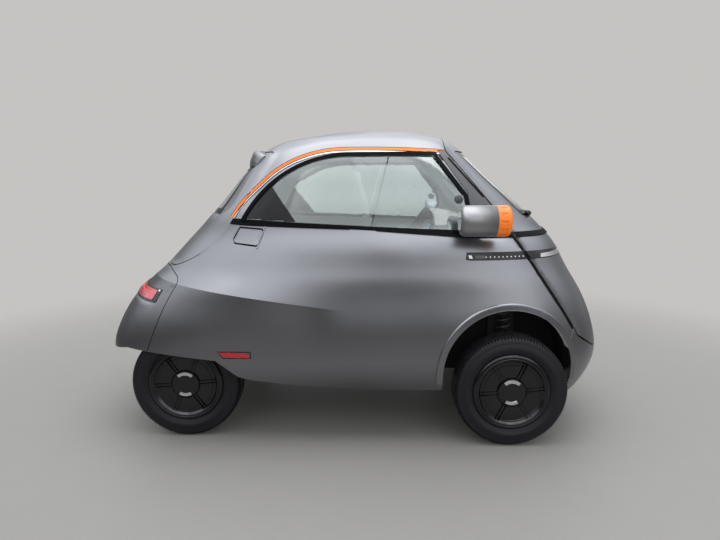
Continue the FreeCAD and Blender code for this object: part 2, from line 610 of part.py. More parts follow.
tailLamp = layer(tailLampPiece, -size("lampProud"), size("lampDepth"))
reflector = layer(flankPrism(reflectorShares, grow=-seam), -size("lampProud"), size("coverDepth"))
node(feature("TailLamps", bothSides(tailLamp)), "tail_lamps")
node(feature("SideReflectors", bothSides(reflector)), "side_reflectors")
flapPlate = layer(flapPrism, 0, size("flapThickness"))
flapPin = rodBetween(size("flapPinRadius"), flapPinLow, flapPinTop)
flapTab = rodBetween(size("flapPinRadius"), flapMiddle, tabEnd)
node(feature("ChargeFlap", flapPlate.fuse([flapPin, flapTab]).removeSplitter()), "charge_flap")
print("charge flap hinge", flapMiddle, flapWay, flush=True)
socketBack = size("flapPocketDepth")
socketFace = socketBack - size("socketProud")
socketDisc = cylinderAlong(
    acrossCar, size("socketRadius"), halfWidth, size("socketX"), -halfWidth, size("socketHeight"))
socketHole = cylinderAlong(
    acrossCar, size("socketBore"), halfWidth, size("socketX"), -halfWidth, size("socketHeight"))
socketHoles = layer(socketHole, socketFace, socketFace + size("socketDepth"))
socket = layer(socketDisc, socketFace, socketBack).cut(socketHoles)
node(feature("ChargeSocket", socket), "charge_socket")


# A section of the tailgate's lip: it follows the skin across the car, and its
# outer points are drawn in toward the line between its first and last
def lipSection(share, fullness):
    y = share * size("lipHalfWidth")
    points = sidePoints(lipShares)
    shift = skinTailX(y, points[1].z) - skinTailX(0, points[1].z)
    first = points[0]
    last = points[-1]
    drawn = []
    for index, point in enumerate(points):
        anchor = first + (last - first) * (index / (len(points) - 1))
        place = anchor + (point - anchor) * fullness
        drawn.append(Vector(place.x + shift, y, place.z))
    return Part.makePolygon(drawn + [drawn[0]])


lipLoft = Part.makeLoft([lipSection(share, fullness) for share, fullness in lipSections], True, False)
node(feature("TailgateLip", outward(lipLoft).cut(skin(-seam))), "tailgate_lip")


# A prism ahead of the car from corners given across it and up
def frontPrism(corners):
    points = [Vector(0, y, z) for y, z in corners]
    face = Part.Face(Part.makePolygon(points + [points[0]]))
    return outward(face.extrude(Vector(halfLength + overrun, 0, 0)))


# Wiper: its hub, arm, link and blade are layers over the skin
wiperHub = Part.makeCylinder(
    size("wiperHubRadius"), halfLength, Vector(0, size("wiperY"), size("wiperHeight")), Vector(1, 0, 0))
armHalf = size("wiperArmWidth") / 2
armPrism = frontPrism([
    (size("wiperY"), size("wiperHeight") - armHalf), (size("wiperY"), size("wiperHeight") + armHalf),
    (size("wiperArmEndY"), size("wiperArmEndHeight") + armHalf),
    (size("wiperArmEndY"), size("wiperArmEndHeight") - armHalf),
])
bladeTop = size("bladeHeight") + size("bladeWidth")
bladePrism = frontPrism([
    (size("bladeLowY"), size("bladeHeight")), (size("bladeHighY"), size("bladeHeight")),
    (size("bladeHighY"), bladeTop), (size("bladeLowY"), bladeTop),
])
linkHalf = size("bladeLinkWidth") / 2
linkPrism = frontPrism([
    (size("wiperArmEndY") - linkHalf, size("bladeHeight")),
    (size("wiperArmEndY") + linkHalf, size("bladeHeight")),
    (size("wiperArmEndY") + linkHalf, bladeTop), (size("wiperArmEndY") - linkHalf, bladeTop),
])
wiper = layer(wiperHub, -size("wiperHubProud"), -seam).fuse([
    layer(armPrism, -size("wiperArmOuter"), -size("wiperArmInner")),
    layer(linkPrism, -size("wiperArmOuter"), -size("bladeClear")),
    layer(bladePrism, -size("bladeClear") - size("bladeThickness"), -size("bladeClear")),
])
node(feature("Wiper", wiper.removeSplitter()), "wiper")


def stripeEdge(shares):
    curve = Part.BSplineCurve()
    curve.interpolate(sidePoints(shares))
    return curve.toShape()


lowEdge = stripeEdge(stripeLowShares)
highEdge = stripeEdge(stripeHighShares)
stripeEnds = [
    Part.LineSegment(lowEdge.Vertexes[0].Point, highEdge.Vertexes[0].Point).toShape(),
    Part.LineSegment(lowEdge.Vertexes[-1].Point, highEdge.Vertexes[-1].Point).toShape(),
]
stripeWire = Part.Wire(Part.sortEdges([lowEdge, highEdge] + stripeEnds)[0])
stripePrism = sidePrism(stripeWire, size("flankStartY"), halfWidth + overrun)
stripe = layer(stripePrism, -size("stripeProud"), -seam).cut(panelGaps + [frameOuter, pillarPrism])
node(feature("RoofStripes", bothSides(stripe)), "roof_stripes")
print("skin pieces ready", flush=True)


# Pieces below are made from primitives whose sizes follow the sheet.
# A formula names the sheet's values, such as "frontAxleX - knuckleWidth / 2".
def formula(text):
    return re.sub(r"\b(?!(?:tan|sin|cos)\b)([a-zA-Z]\w+)", r"Sizes.\1", text)


def bind(item, settings):
    for name, text in settings.items():
        item.setExpression(name, formula(text))
    return item


def at(item, x, y, z):
    return bind(item, {"Placement.Base.x": x, "Placement.Base.y": y, "Placement.Base.z": z})


def looseBlock(name, length, width, tall):
    item = doc.addObject("Part::Box", name)
    return bind(item, {"Length": length, "Width": width, "Height": tall})


def block(name, length, width, tall, x, y, z):
    return at(looseBlock(name, length, width, tall), x, y, z)


turns = {
    "x": FreeCAD.Rotation(Vector(0, 1, 0), 90),
    "y": FreeCAD.Rotation(Vector(1, 0, 0), -90),
    "z": FreeCAD.Rotation(),
}


def rod(name, axis, radius, length, x, y, z):
    item = doc.addObject("Part::Cylinder", name)
    item.Placement.Rotation = turns[axis]
    bind(item, {"Radius": radius, "Height": length})
    return at(item, x, y, z)


# A round bar between two points
def strut(name, radius, begin, finish):
    item = doc.addObject("Part::Cylinder", name)
    item.setExpression("Radius", formula(radius))
    item.Height = begin.distanceToPoint(finish)
    item.Placement = FreeCAD.Placement(begin, FreeCAD.Rotation(Vector(0, 0, 1), finish - begin))
    return item


def joined(name, items):
    item = doc.addObject("Part::MultiFuse", name)
    item.Shapes = items
    item.Refine = True
    return item


def less(name, base, tools):
    tool = tools[0] if len(tools) == 1 else joined(name + "Tools", tools)
    item = doc.addObject("Part::Cut", name)
    item.Base = base
    item.Tool = tool
    return item


def group(name, items):
    item = doc.addObject("Part::Compound", name)
    item.Links = items
    return item


def reflected(name, source):
    item = doc.addObject("Part::Mirroring", name)
    item.Source = source
    item.Normal = acrossCar
    return item


def pair(name, source):
    return group(name, [source, reflected(name + "Right", source)])


# A turned piece: a profile of radius and offset formulas spun about an axis
# that lies across the car
def turned(name, outline):
    body = doc.addObject("PartDesign::Body", name)
    sketch = body.newObject("Sketcher::SketchObject", name + "Profile")
    plane = [item for item in body.Origin.OriginFeatures if item.Role == "XY_Plane"][0]
    sketch.AttachmentSupport = [(plane, "")]
    sketch.MapMode = "FlatFace"
    count = len(outline)
    places = [Vector(value(radius), value(offset), 0) for radius, offset in outline]
    for index in range(count):
        sketch.addGeometry(Part.LineSegment(places[index], places[(index + 1) % count]), False)
    for index in range(count):
        sketch.addConstraint(Sketcher.Constraint("Coincident", index, 2, (index + 1) % count, 1))
    for index in range(count):
        for kind, distance, text in zip(("DistanceX", "DistanceY"), places[index], outline[index]):
            number = sketch.addConstraint(Sketcher.Constraint(kind, index, 1, distance))
            sketch.setExpression("Constraints[%d]" % number, formula(text))
    revolution = body.newObject("PartDesign::Revolution", name + "Turn")
    revolution.Profile = sketch
    revolution.ReferenceAxis = (sketch, ["V_Axis"])
    revolution.Angle = 360
    body.Tip = revolution
    return body


# The number that a formula of sheet values gives now
def value(text):
    return float(sheet.evalExpression(re.sub(r"Sizes\.", "", formula(text))))


# Wheels: a tyre, and a steel rim with its cover. The sidewall bulges at these
# shares of its height.
sidewallShares = [
    (0.19, "(tyreHalfWidth - sidewallInset)"), (0.39, "tyreHalfWidth"),
    (0.63, "(tyreHalfWidth - sidewallInset)"), (0.87, "(tyreHalfWidth + treadHalfWidth) / 2"),
]
beadOffset = "(rimHalfWidth - flangeThickness - seam)"
halfSection = [
    ("rimRadius + seam", beadOffset), ("flangeRadius + seam", beadOffset),
    ("flangeRadius + seam", "rimHalfWidth"), ("flangeSeatRadius", "rimHalfWidth"),
]
for heightShare, offset in sidewallShares:
    halfSection.append(("flangeSeatRadius + (tyreRadius - flangeSeatRadius) * %.2f" % heightShare, offset))
halfSection.append(("tyreRadius", "treadHalfWidth"))
otherSection = [(radius, "-" + offset) for radius, offset in reversed(halfSection)]
tyreMaster = turned("TyreMaster", halfSection + otherSection)
rimMaster = turned("RimMaster", [
    ("rimRadius - rimWall", "-rimHalfWidth"), ("flangeRadius", "-rimHalfWidth"),
    ("flangeRadius", "-rimHalfWidth + flangeThickness"), ("rimRadius", "-rimHalfWidth + flangeThickness"),
    ("rimRadius", "rimHalfWidth - flangeThickness"), ("flangeRadius", "rimHalfWidth - flangeThickness"),
    ("flangeRadius", "rimHalfWidth"), ("rimRadius - rimWall", "rimHalfWidth"),
    ("rimRadius - rimWall", "discOffset + discThickness"), ("hubRadius", "discOffset + discThickness"),
    ("hubRadius", "hubEnd"), ("spindleRadius + runningFit", "hubEnd"),
    ("spindleRadius + runningFit", "hubStart"), ("hubRadius", "hubStart"), ("hubRadius", "discOffset"),
    ("rimRadius - rimWall", "discOffset"),
])
coverMaster = turned("CoverMaster", [
    ("0", "coverDishOffset - coverThickness"),
    ("rimRadius - rimWall - seam", "coverDishOffset - coverThickness"),
    ("rimRadius - rimWall - seam", "rimHalfWidth + seam"), ("coverRadius", "rimHalfWidth + seam"),
    ("coverRadius", "coverFaceOffset - coverThickness"), ("coverRadius - coverThickness", "coverFaceOffset"),
    ("coverStepRadius", "coverFaceOffset"), ("coverInnerRadius", "coverDishOffset"),
    ("capRadius", "coverDishOffset"), ("capRadius", "coverDishOffset + capHeight"),
    ("0", "coverDishOffset + capHeight"),
])
ribs = []
for pairIndex in range(int(size("coverRibPairs"))):
    for side in (-1, 1):
        rib = Part.makeBox(
            size("coverInnerRadius") - size("capRadius"), size("coverRibHeight"), size("coverRibWidth"),
            Vector(size("capRadius"), size("coverDishOffset"),
                   side * size("coverRibGap") / 2 - size("coverRibWidth") / 2))
        rib.rotate(Vector(0, 0, 0), acrossCar, 360 * pairIndex / size("coverRibPairs"))
        ribs.append(rib)
doc.recompute()
coverShape = coverMaster.Shape.fuse(ribs).removeSplitter()
wheelPlaces = {
    "front_left": (size("frontAxleX"), frontY, 0),
    "front_right": (size("frontAxleX"), -frontY, 180),
    "rear_left": (size("rearAxleX"), rearY, 0),
    "rear_right": (size("rearAxleX"), -rearY, 180),
}
for corner, (x, y, turn) in wheelPlaces.items():
    place = FreeCAD.Placement(Vector(x, y, size("tyreRadius")), FreeCAD.Rotation(Vector(0, 0, 1), turn))
    for kind, shape in (("tyre", tyreMaster.Shape), ("rim", rimMaster.Shape), ("wheel_cover", coverShape)):
        piece = feature(kind + corner, shape.copy())
        piece.Placement = place
        node(piece, "%s_%s" % (kind, corner))
print("wheels ready", flush=True)

# Front uprights with their spindles, ball pins and steering arms
kingpinY = "(frontTrack / 2 - kingpinInset)"
upright = block(
    "Upright", "knuckleWidth", "knuckleDepth", "2 * ballJointSpread", "frontAxleX - knuckleWidth / 2",
    kingpinY + " - knuckleDepth / 2", "tyreRadius - ballJointSpread")
spindle = rod(
    "Spindle", "y", "spindleRadius", "kingpinInset + hubEnd + spindleOverhang", "frontAxleX", kingpinY,
    "tyreRadius")
ballPins = rod(
    "BallPins", "z", "ballPinRadius", "2 * ballJointSpread + 2 * ballPinLength", "frontAxleX", kingpinY,
    "tyreRadius - ballJointSpread - ballPinLength")
steeringArm = block(
    "SteeringArm", "steeringArmLength + steeringArmWidth / 2", "steeringArmWidth", "steeringArmThickness",
    "frontAxleX - steeringArmLength - steeringArmWidth / 2", kingpinY + " - steeringArmWidth / 2",
    "tyreRadius - steeringArmDrop")
leftKnuckle = joined("LeftKnuckle", [upright, spindle, ballPins, steeringArm])
node(leftKnuckle, "knuckle_left")
node(reflected("RightKnuckle", leftKnuckle), "knuckle_right")

# The tie rods run through the rack housing to an eye above each steering arm
rackX = "frontAxleX - steeringArmLength"
eyeBottom = "tyreRadius - steeringArmDrop + steeringArmThickness + eyeClear"
rackZ = eyeBottom + " + tieRodEyeHeight / 2"
tieRod = rod("TieRod", "y", "tieRodRadius", "2 * " + kingpinY, rackX, "-" + kingpinY, rackZ)
rodEye = rod("TieRodEye", "z", "tieRodEyeRadius", "tieRodEyeHeight", rackX, kingpinY, eyeBottom)
node(joined("TieRods", [tieRod, rodEye, reflected("OtherRodEye", rodEye)]), "tie_rods")
rackTube = rod(
    "RackTube", "y", "rackHousingRadius", "2 * rackHousingHalfLength", rackX, "-rackHousingHalfLength", rackZ)
rackBore = rod(
    "RackBore", "y", "tieRodRadius + runningFit", "2 * rackHousingHalfLength", rackX,
    "-rackHousingHalfLength", rackZ)

# Subframe with the damper towers
innerWallY = "(frontTrack / 2 - archInboard)"
frameHalf = "(frontTrack / 2 - archInboard - subframeSideInset)"
towerTop = "(2 * tyreRadius + archLift + archClear - towerHeadroom)"
beam = block(
    "SubframeBeam", "subframeLength", "2 * " + frameHalf, "subframeHeight", "frontAxleX - subframeLength / 2",
    "-" + frameHalf, "subframeBottom")
rackSaddle = block(
    "RackSaddle", "2 * rackHousingRadius", "rackHousingHalfLength",
    rackZ + " - subframeBottom - subframeHeight / 2", rackX + " - rackHousingRadius",
    "-rackHousingHalfLength / 2", "subframeBottom + subframeHeight / 2")
towerInnerY = "(%s + seam)" % innerWallY
towerOuterY = "(%s + seam + towerThickness)" % innerWallY
towerFoot = block(
    "TowerFoot", "towerWidth", "subframeSideInset + seam + towerThickness", "subframeHeight",
    "frontAxleX - towerWidth / 2", frameHalf, "subframeBottom")
tower = block(
    "Tower", "towerWidth", "towerThickness", towerTop + " - subframeBottom", "frontAxleX - towerWidth / 2",
    towerInnerY, "subframeBottom")
towerBracket = block(
    "TowerBracket", "towerWidth", "towerBracketReach", "towerBracketThickness", "frontAxleX - towerWidth / 2",
    towerInnerY, towerTop + " - towerBracketThickness")
towerSide = joined("TowerSide", [towerFoot, tower, towerBracket])
subframe = joined("Subframe", [beam, rackSaddle, rackTube, towerSide, reflected("TowerRight", towerSide)])
node(less("FrontSubframe", subframe, [rackBore]), "front_subframe")

axleX = size("frontAxleX")
hubZ = size("tyreRadius")
eyeY = frontY - size("kingpinInset")
lowerArmZ = hubZ - size("ballJointSpread") - size("ballPinLength") / 2
upperArmZ = hubZ + size("ballJointSpread") + size("ballPinLength") / 2
bushY = value(towerOuterY + " + seam + bushRadius")
damperY = archInnerY + size("damperOutboard")
# The bolt under the damper, from leg to leg of the lower arm
boltHalf = size("wishboneSpread") / 2 * (eyeY - damperY) / (eyeY - bushY)
damperBolt = strut(
    "DamperBolt", "wishboneRadius", Vector(axleX - boltHalf, damperY, lowerArmZ),
    Vector(axleX + boltHalf, damperY, lowerArmZ))
arms = []
for level, sign, armZ in (("Lower", "-", lowerArmZ), ("Upper", "+", upperArmZ)):
    eyeZ = "tyreRadius %s (ballJointSpread + ballPinLength / 2)" % sign
    eye = rod(
        level + "ArmEye", "z", "armEyeRadius", "armEyeHeight", "frontAxleX", kingpinY,
        eyeZ + " - armEyeHeight / 2")
    hole = rod(
        level + "ArmHole", "z", "ballPinRadius + runningFit", "2 * armEyeHeight", "frontAxleX", kingpinY,
        eyeZ + " - armEyeHeight")
    legs = []
    for side in (-1, 1):
        legX = axleX + side * size("wishboneSpread") / 2
        legStart = Vector(legX, bushY, armZ)
        legs.append(strut(level + "Leg", "wishboneRadius", legStart, Vector(axleX, eyeY, armZ)))
        legs.append(rod(
            level + "Bush", "x", "bushRadius", "bushLength",
            "frontAxleX + %d * wishboneSpread / 2 - bushLength / 2" % side,
            towerOuterY + " + seam + bushRadius", eyeZ))
    if level == "Lower":
        legs.append(damperBolt)
    arms.append(less(level + "Arm", joined(level + "ArmSolid", [eye] + legs), [hole]))
bothArms = group("WishbonesLeft", arms)
node(pair("Wishbones", bothArms), "front_wishbones")

# Dampers stand on the bolts of the lower arms, with their springs above the upper arms
bracketZ = value(towerTop + " - towerBracketThickness - seam")
springFoot = Vector(axleX, damperY, upperArmZ + size("bushRadius") + size("springFootClear"))
damperTube = strut(
    "DamperTube", "damperRadius", Vector(axleX, damperY, lowerArmZ + size("wishboneRadius") + seam),
    springFoot)
springTube = strut("SpringSleeve", "springRadius", springFoot, Vector(axleX, damperY, bracketZ))
node(pair("FrontDampers", joined("FrontDamper", [damperTube, springTube])), "front_dampers")

# Rear trailing arms, beam and hubs in one weldment
armLine = "(rearTrack / 2 - trailingArmInboard)"
rearHubY = "(rearTrack / 2 - rearHubInboard)"
pivot = Vector(size("trailingPivotX"), value(armLine), size("trailingPivotHeight"))
rearHub = Vector(size("rearAxleX"), pivot.y, hubZ)
trailingArm = strut("TrailingArm", "trailingArmRadius", pivot, rearHub)
pivotBracket = block(
    "PivotBracket", "pivotBracketLength", "pivotBracketWidth", "pivotBracketHeight",
    "floorRearX - bulkheadThickness - seam - pivotBracketLength", armLine + " - pivotBracketWidth / 2",
    "trailingPivotHeight - pivotBracketHeight / 2")
hubCarrier = rod(
    "RearHubCarrier", "y", "rearHubRadius", "%s + rearHubLength / 2 - %s" % (rearHubY, armLine), "rearAxleX",
    armLine, "tyreRadius")
rearSpindle = rod(
    "RearSpindle", "y", "spindleRadius", "rearHubInboard + hubEnd + spindleOverhang", "rearAxleX", rearHubY,
    "tyreRadius")
beamShare = (size("rearBeamX") - pivot.x) / (rearHub.x - pivot.x)
beamCentre = pivot + (rearHub - pivot) * beamShare
beamEnd = Vector(beamCentre.x, -beamCentre.y, beamCentre.z)
rearBeam = strut("RearBeam", "rearBeamRadius", beamEnd, beamCentre)
axleSide = joined("AxleSide", [trailingArm, pivotBracket, hubCarrier, rearSpindle])
node(joined("RearAxle", [axleSide, reflected("AxleRight", axleSide), rearBeam]), "rear_axle")
rearDamperX = size("rearDamperX")
rearTube = strut(
    "RearDamperTube", "damperRadius", Vector(rearDamperX, pivot.y, size("rearDamperFoot")),
    Vector(rearDamperX, pivot.y, size("rearSpringFoot")))
rearSpring = strut(
    "RearSpringSleeve", "rearSpringRadius", Vector(rearDamperX, pivot.y, size("rearSpringFoot")),
    Vector(rearDamperX, pivot.y, rearFloorBottom - seam))
node(pair("RearDampers", joined("RearDamper", [rearTube, rearSpring])), "rear_dampers")
floorUnder = "(2 * tyreRadius + pocketClear + rearFloorClear)"
motorCase = block(
    "MotorCase", "motorLength", "2 * motorHalfWidth", "motorHeight", "rearAxleX - motorLength / 2",
    "-motorHalfWidth", "motorBottom")
motorMount = block(
    "MotorMount", "motorMountLength", "motorMountWidth", floorUnder + " - seam - motorBottom - motorHeight",
    "rearAxleX - motorMountLength / 2", "motorHalfWidth - motorMountWidth", "motorBottom + motorHeight")
driveShaft = rod(
    "DriveShaft", "y", "driveShaftRadius", armLine + " - rearHubRadius - seam - motorHalfWidth", "rearAxleX",
    "motorHalfWidth", "tyreRadius")
motorSide = joined("MotorSide", [motorMount, driveShaft])
node(joined("Motor", [motorCase, motorSide, reflected("MotorRight", motorSide)]), "motor")
print("running gear ready", flush=True)

# Floor, wheel housings and battery
inside = skin(wall + seam)
floorTop = size("floorBottom") + size("floorThickness")
floorSheet = Part.makeBox(
    size("floorFrontX") - size("floorRearX"), 2 * halfWidth, size("floorThickness"),
    Vector(size("floorRearX"), -halfWidth, size("floorBottom")))
bulkhead = Part.makeBox(
    size("bulkheadThickness"), 2 * halfWidth, rearFloorBottom + size("floorThickness") - size("floorBottom"),
    Vector(size("floorRearX") - size("bulkheadThickness"), -halfWidth, size("floorBottom")))
rearFloor = Part.makeBox(
    size("floorRearX") + halfLength, 2 * halfWidth, size("floorThickness"),
    Vector(-halfLength, -halfWidth, rearFloorBottom))
liner = size("linerThickness")
housing = archSpace(archRadius + liner + seam, archInnerY - liner - seam, halfWidth)
floorSolid = floorSheet.fuse([bulkhead, rearFloor]).removeSplitter().common(inside)
floorSolid = floorSolid.cut([housing, mirrored(housing)])
node(feature("FloorPan", floorSolid), "floor_pan")
linerOuter = archSpace(archRadius + liner, archInnerY - liner, halfWidth)
linerInner = archSpace(archRadius, archInnerY, halfWidth)
linerShell = linerOuter.cut(linerInner).common(inside)
linerShell = linerShell.cut(Part.makeBox(
    2 * halfLength, 2 * halfWidth, size("floorBottom"), Vector(-halfLength / 2, -halfWidth, 0)))
node(feature("WheelHousings", bothSides(linerShell)), "wheel_housings")
batteryHalf = "(overallWidth / 2 - batterySideInset)"
battery = block(
    "Battery", "batteryFrontX - batteryRearX", "2 * " + batteryHalf, "batteryHeight", "batteryRearX",
    "-" + batteryHalf, "floorBottom + floorThickness")
node(battery, "battery")

# Seat
cushionBase = "floorBottom + floorThickness + batteryHeight + seam"
cushionHalf = "(overallWidth / 2 - cushionSideInset)"
backrestHalf = "(overallWidth / 2 - backrestSideInset)"
cushion = block(
    "Cushion", "cushionFrontX - cushionRearX", "2 * " + cushionHalf, "cushionThickness", "cushionRearX",
    "-" + cushionHalf, cushionBase)
doc.recompute()


def rounded(name, base, radius):
    item = doc.addObject("Part::Fillet", name)
    item.Base = base
    item.Edges = [(number + 1, size(radius), size(radius)) for number in range(len(base.Shape.Edges))]
    return item


node(rounded("SeatCushion", cushion, "cushionRound"), "seat_cushion")
leanReach = "((backrestThickness - backrestRound) * cos(backrestLean) - backrestRound * sin(backrestLean))"
backrest = block(
    "Backrest", "backrestThickness", "2 * " + backrestHalf, "backrestHeight",
    "cushionRearX - seam - backrestRound - " + leanReach, "-" + backrestHalf, cushionBase)
backrest.Placement.Rotation = FreeCAD.Rotation(acrossCar, -size("backrestLean"))
doc.recompute()
node(rounded("SeatBackrest", backrest, "backrestRound"), "seat_backrest")

# Steering column on its post, with the steering wheel and the display
tilt = math.radians(size("columnTilt"))
columnAxis = Vector(math.cos(tilt), 0, -math.sin(tilt))
wheelCentre = Vector(size("steeringWheelX"), size("columnY"), size("steeringWheelHeight"))
hubFront = wheelCentre + columnAxis * (size("steeringHubThickness") / 2)
columnStart = hubFront + columnAxis * size("steeringClear")
columnEnd = columnStart + columnAxis * size("columnLength")
column = strut("Column", "columnRadius", columnStart, columnEnd)
postFoot = Vector(size("postFootX"), size("columnY"), floorTop + seam)
post = strut("ColumnPost", "postRadius", postFoot, columnEnd)
postFlange = rod(
    "PostFlange", "z", "postFlangeRadius", "postFlangeHeight", "postFootX", "columnY",
    "floorBottom + floorThickness")
knee = doc.addObject("Part::Sphere", "ColumnKnee")
knee.setExpression("Radius", formula("postRadius"))
knee.Placement.Base = columnEnd
floorTrim = block(
    "PostTrim", "2 * postFlangeRadius", "2 * postFlangeRadius", "floorThickness",
    "postFootX - postFlangeRadius", "columnY - postFlangeRadius", "floorBottom")
shaftBore = strut(
    "ShaftBore", "shaftRadius + runningFit", columnStart - columnAxis * size("steeringClear"),
    columnStart + columnAxis * (size("shaftDepth") + size("steeringClear")))
columnSolid = joined("ColumnSolid", [column, post, knee, postFlange])
node(less("SteeringColumn", columnSolid, [floorTrim, shaftBore]), "steering_column")
ring = doc.addObject("Part::Torus", "SteeringRing")
bind(ring, {"Radius1": "steeringWheelRadius", "Radius2": "steeringWheelTube"})
hub = rod(
    "SteeringHub", "z", "steeringHubRadius", "steeringHubThickness", "0", "0", "-steeringHubThickness / 2")
shaft = rod(
    "SteeringShaft", "z", "shaftRadius", "steeringHubThickness / 2 + steeringClear + shaftDepth", "0", "0",
    "-steeringHubThickness / 2 - steeringClear - shaftDepth")
spokes = []
for index, turn in enumerate((0, 120, 240)):
    spoke = block(
        "Spoke%d" % index, "steeringWheelRadius", "spokeWidth", "spokeThickness", "0", "-spokeWidth / 2",
        "-spokeThickness / 2")
    holder = doc.addObject("Part::Compound", "SpokeTurn%d" % index)
    holder.Links = [spoke]
    holder.Placement.Rotation = FreeCAD.Rotation(Vector(0, 0, 1), turn)
    spokes.append(holder)
steeringWheel = joined("SteeringWheelSolid", [ring, hub, shaft] + spokes)
steeringWheel.Placement = FreeCAD.Placement(wheelCentre, FreeCAD.Rotation(Vector(0, 0, 1), -columnAxis))
node(steeringWheel, "steering_wheel")
display = looseBlock("Display", "displayThickness", "displayWidth", "displayHeight")
displayUp = Vector(math.sin(tilt), 0, math.cos(tilt))
displayFoot = columnStart + columnAxis * size("displayClear") + displayUp * (size("columnRadius") + seam)
display.Placement = FreeCAD.Placement(
    displayFoot - Vector(0, size("displayWidth") / 2, 0), FreeCAD.Rotation(acrossCar, size("columnTilt")))
node(display, "instrument_display")

# Pedals hang from a bar across the foot space
pedals = []
for side in (-1, 1):
    pedalY = "columnY + pedalSpacing * %d / 2" % side
    pad = block(
        "Pedal%d" % (side + 1), "pedalThickness", "pedalWidth", "pedalHeight", "pedalX",
        pedalY + " - pedalWidth / 2", "floorBottom + floorThickness + pedalClear")
    arm = rod(
        "PedalArm%d" % (side + 1), "z", "pedalArmRadius",
        "pedalTop - floorBottom - floorThickness - pedalClear", "pedalX + pedalThickness / 2", pedalY,
        "floorBottom + floorThickness + pedalClear")
    pedals += [pad, arm]
pedalBar = rod(
    "PedalBar", "y", "pedalArmRadius", innerWallY + " - linerThickness - seam - columnY + pedalSpacing",
    "pedalX + pedalThickness / 2", "columnY - pedalSpacing", "pedalTop")
node(joined("Pedals", pedals + [pedalBar]), "pedals")
print("cabin ready", flush=True)

# Lamp pods: a housing with a mirror in its rear and a lamp in its front ring
alongCar = Vector(1, 0, 0)
podCentre = Vector(size("podX"), halfWidth - size("podRadius"), size("podHeight"))
podShell = Part.makeCylinder(size("podRadius"), size("podLength"), podCentre, alongCar)
rearEdge = [edge for edge in podShell.Edges if abs(edge.CenterOfMass.x - podCentre.x) < seam]
podShell = podShell.makeFillet(size("podRear"), rearEdge)
mirrorRecess = Part.makeCylinder(size("mirrorRadius"), size("mirrorThickness"), podCentre, alongCar)
podArm = cylinderAlong(acrossCar, size("podArmRadius"), podCentre.y, size("podArmX"), 0, size("podHeight"))
podArm = podArm.cut(skin(-size("coverProud") - seam))
podSolid = podShell.fuse(podArm).removeSplitter().cut(mirrorRecess)
node(feature("LampPods", bothSides(podSolid)), "lamp_pods")
mirrorDisc = Part.makeCylinder(
    size("mirrorRadius") - seam, size("mirrorThickness") - seam, podCentre, alongCar)
node(feature("MirrorGlasses", bothSides(mirrorDisc)), "mirror_glasses")
ringBase = podCentre + Vector(size("podLength") + seam, 0, 0)
ringSolid = Part.makeCylinder(size("podRadius"), size("podRingLength"), ringBase, alongCar)
ringFront = ringBase.x + size("podRingLength")
frontEdge = [edge for edge in ringSolid.Edges if abs(edge.CenterOfMass.x - ringFront) < seam]
ringSolid = ringSolid.makeFillet(size("podRingRound"), frontEdge)
ringCuts = [Part.makeCylinder(
    size("podRadius") - size("podRingWall"), size("podRingLength"), ringBase, alongCar)]
for index in range(int(size("podRingSlots"))):
    slot = Part.makeBox(
        size("podSlotLength"), size("podSlotWidth"), 2 * size("podSlotDepth"),
        ringBase + Vector(
            size("podSlotSetback"), -size("podSlotWidth") / 2, size("podRadius") - size("podSlotDepth")))
    slot.rotate(podCentre, alongCar, 360 * index / size("podRingSlots"))
    ringCuts.append(slot)
ringSolid = ringSolid.cut(ringCuts)
node(feature("LampPodRings", bothSides(ringSolid)), "lamp_pod_rings")
lens = Part.makeCylinder(
    size("podRadius") - size("podRingWall") - seam, size("podRingLength") - size("lensSetback"), ringBase,
    alongCar)
node(feature("HeadlampLenses", bothSides(lens)), "headlamp_lenses")

# Door hinges: straps on the fender, leaves with the pins on the door
hingeX = doorGapX(size("lowerHingeHeight")) + size("hingeAhead")
hingeY = skinY(hingeX, size("lowerHingeHeight")) + size("hingeProud")
print("door hinge axis", hingeX, hingeY, flush=True)
barrel = size("hingeBarrelRadius")
tall = size("hingeBarrelHeight")
fenderStraps = []
doorLeaves = []
for hingeZ in (size("lowerHingeHeight"), size("upperHingeHeight")):
    gapX = doorGapX(hingeZ)
    knuckle = Part.makeCylinder(barrel, tall, Vector(hingeX, hingeY, hingeZ), Vector(0, 0, 1))
    strap = Part.makeBox(
        hingeX - gapX + size("hingeFootLength"), size("hingeStrapThickness"), tall,
        Vector(gapX - size("hingeFootLength"), hingeY + barrel - size("hingeStrapThickness"), hingeZ))
    foot = Part.makeBox(
        size("hingeFootLength") - gap - size("hingeFootSetback"), wall, tall,
        Vector(gapX - size("hingeFootLength"), hingeY + barrel - wall, hingeZ))
    bore = Part.makeCylinder(
        size("hingePinRadius") + size("runningFit"), tall, Vector(hingeX, hingeY, hingeZ), Vector(0, 0, 1))
    fenderStraps.append(strap.fuse([foot, knuckle]).cut([skin(-seam), bore]).removeSplitter())
    leafZ = hingeZ - tall - size("hingeClear")
    pin = Part.makeCylinder(
        size("hingePinRadius"), 2 * tall + size("hingeClear"), Vector(hingeX, hingeY, leafZ), Vector(0, 0, 1))
    leaf = Part.makeBox(
        2 * barrel, wall * 2, tall, Vector(hingeX - barrel, hingeY - 2 * wall, leafZ))
    leafRound = Part.makeCylinder(barrel, tall, Vector(hingeX, hingeY, leafZ), Vector(0, 0, 1))
    doorLeaves.append(leaf.fuse([leafRound, pin]).cut(skin(-seam)).removeSplitter())
node(feature("HingeStraps", Part.makeCompound(fenderStraps)), "door_hinge_straps")
node(feature("HingeLeaves", Part.makeCompound(doorLeaves)), "door_hinge_leaves")
doorBar = Part.makeCylinder(
    size("doorBarRadius"), 2 * halfWidth, Vector(size("doorBarX"), -halfWidth, size("doorBarHeight")),
    acrossCar)
node(feature("DoorBar", doorBar.common(inside)), "door_bar")
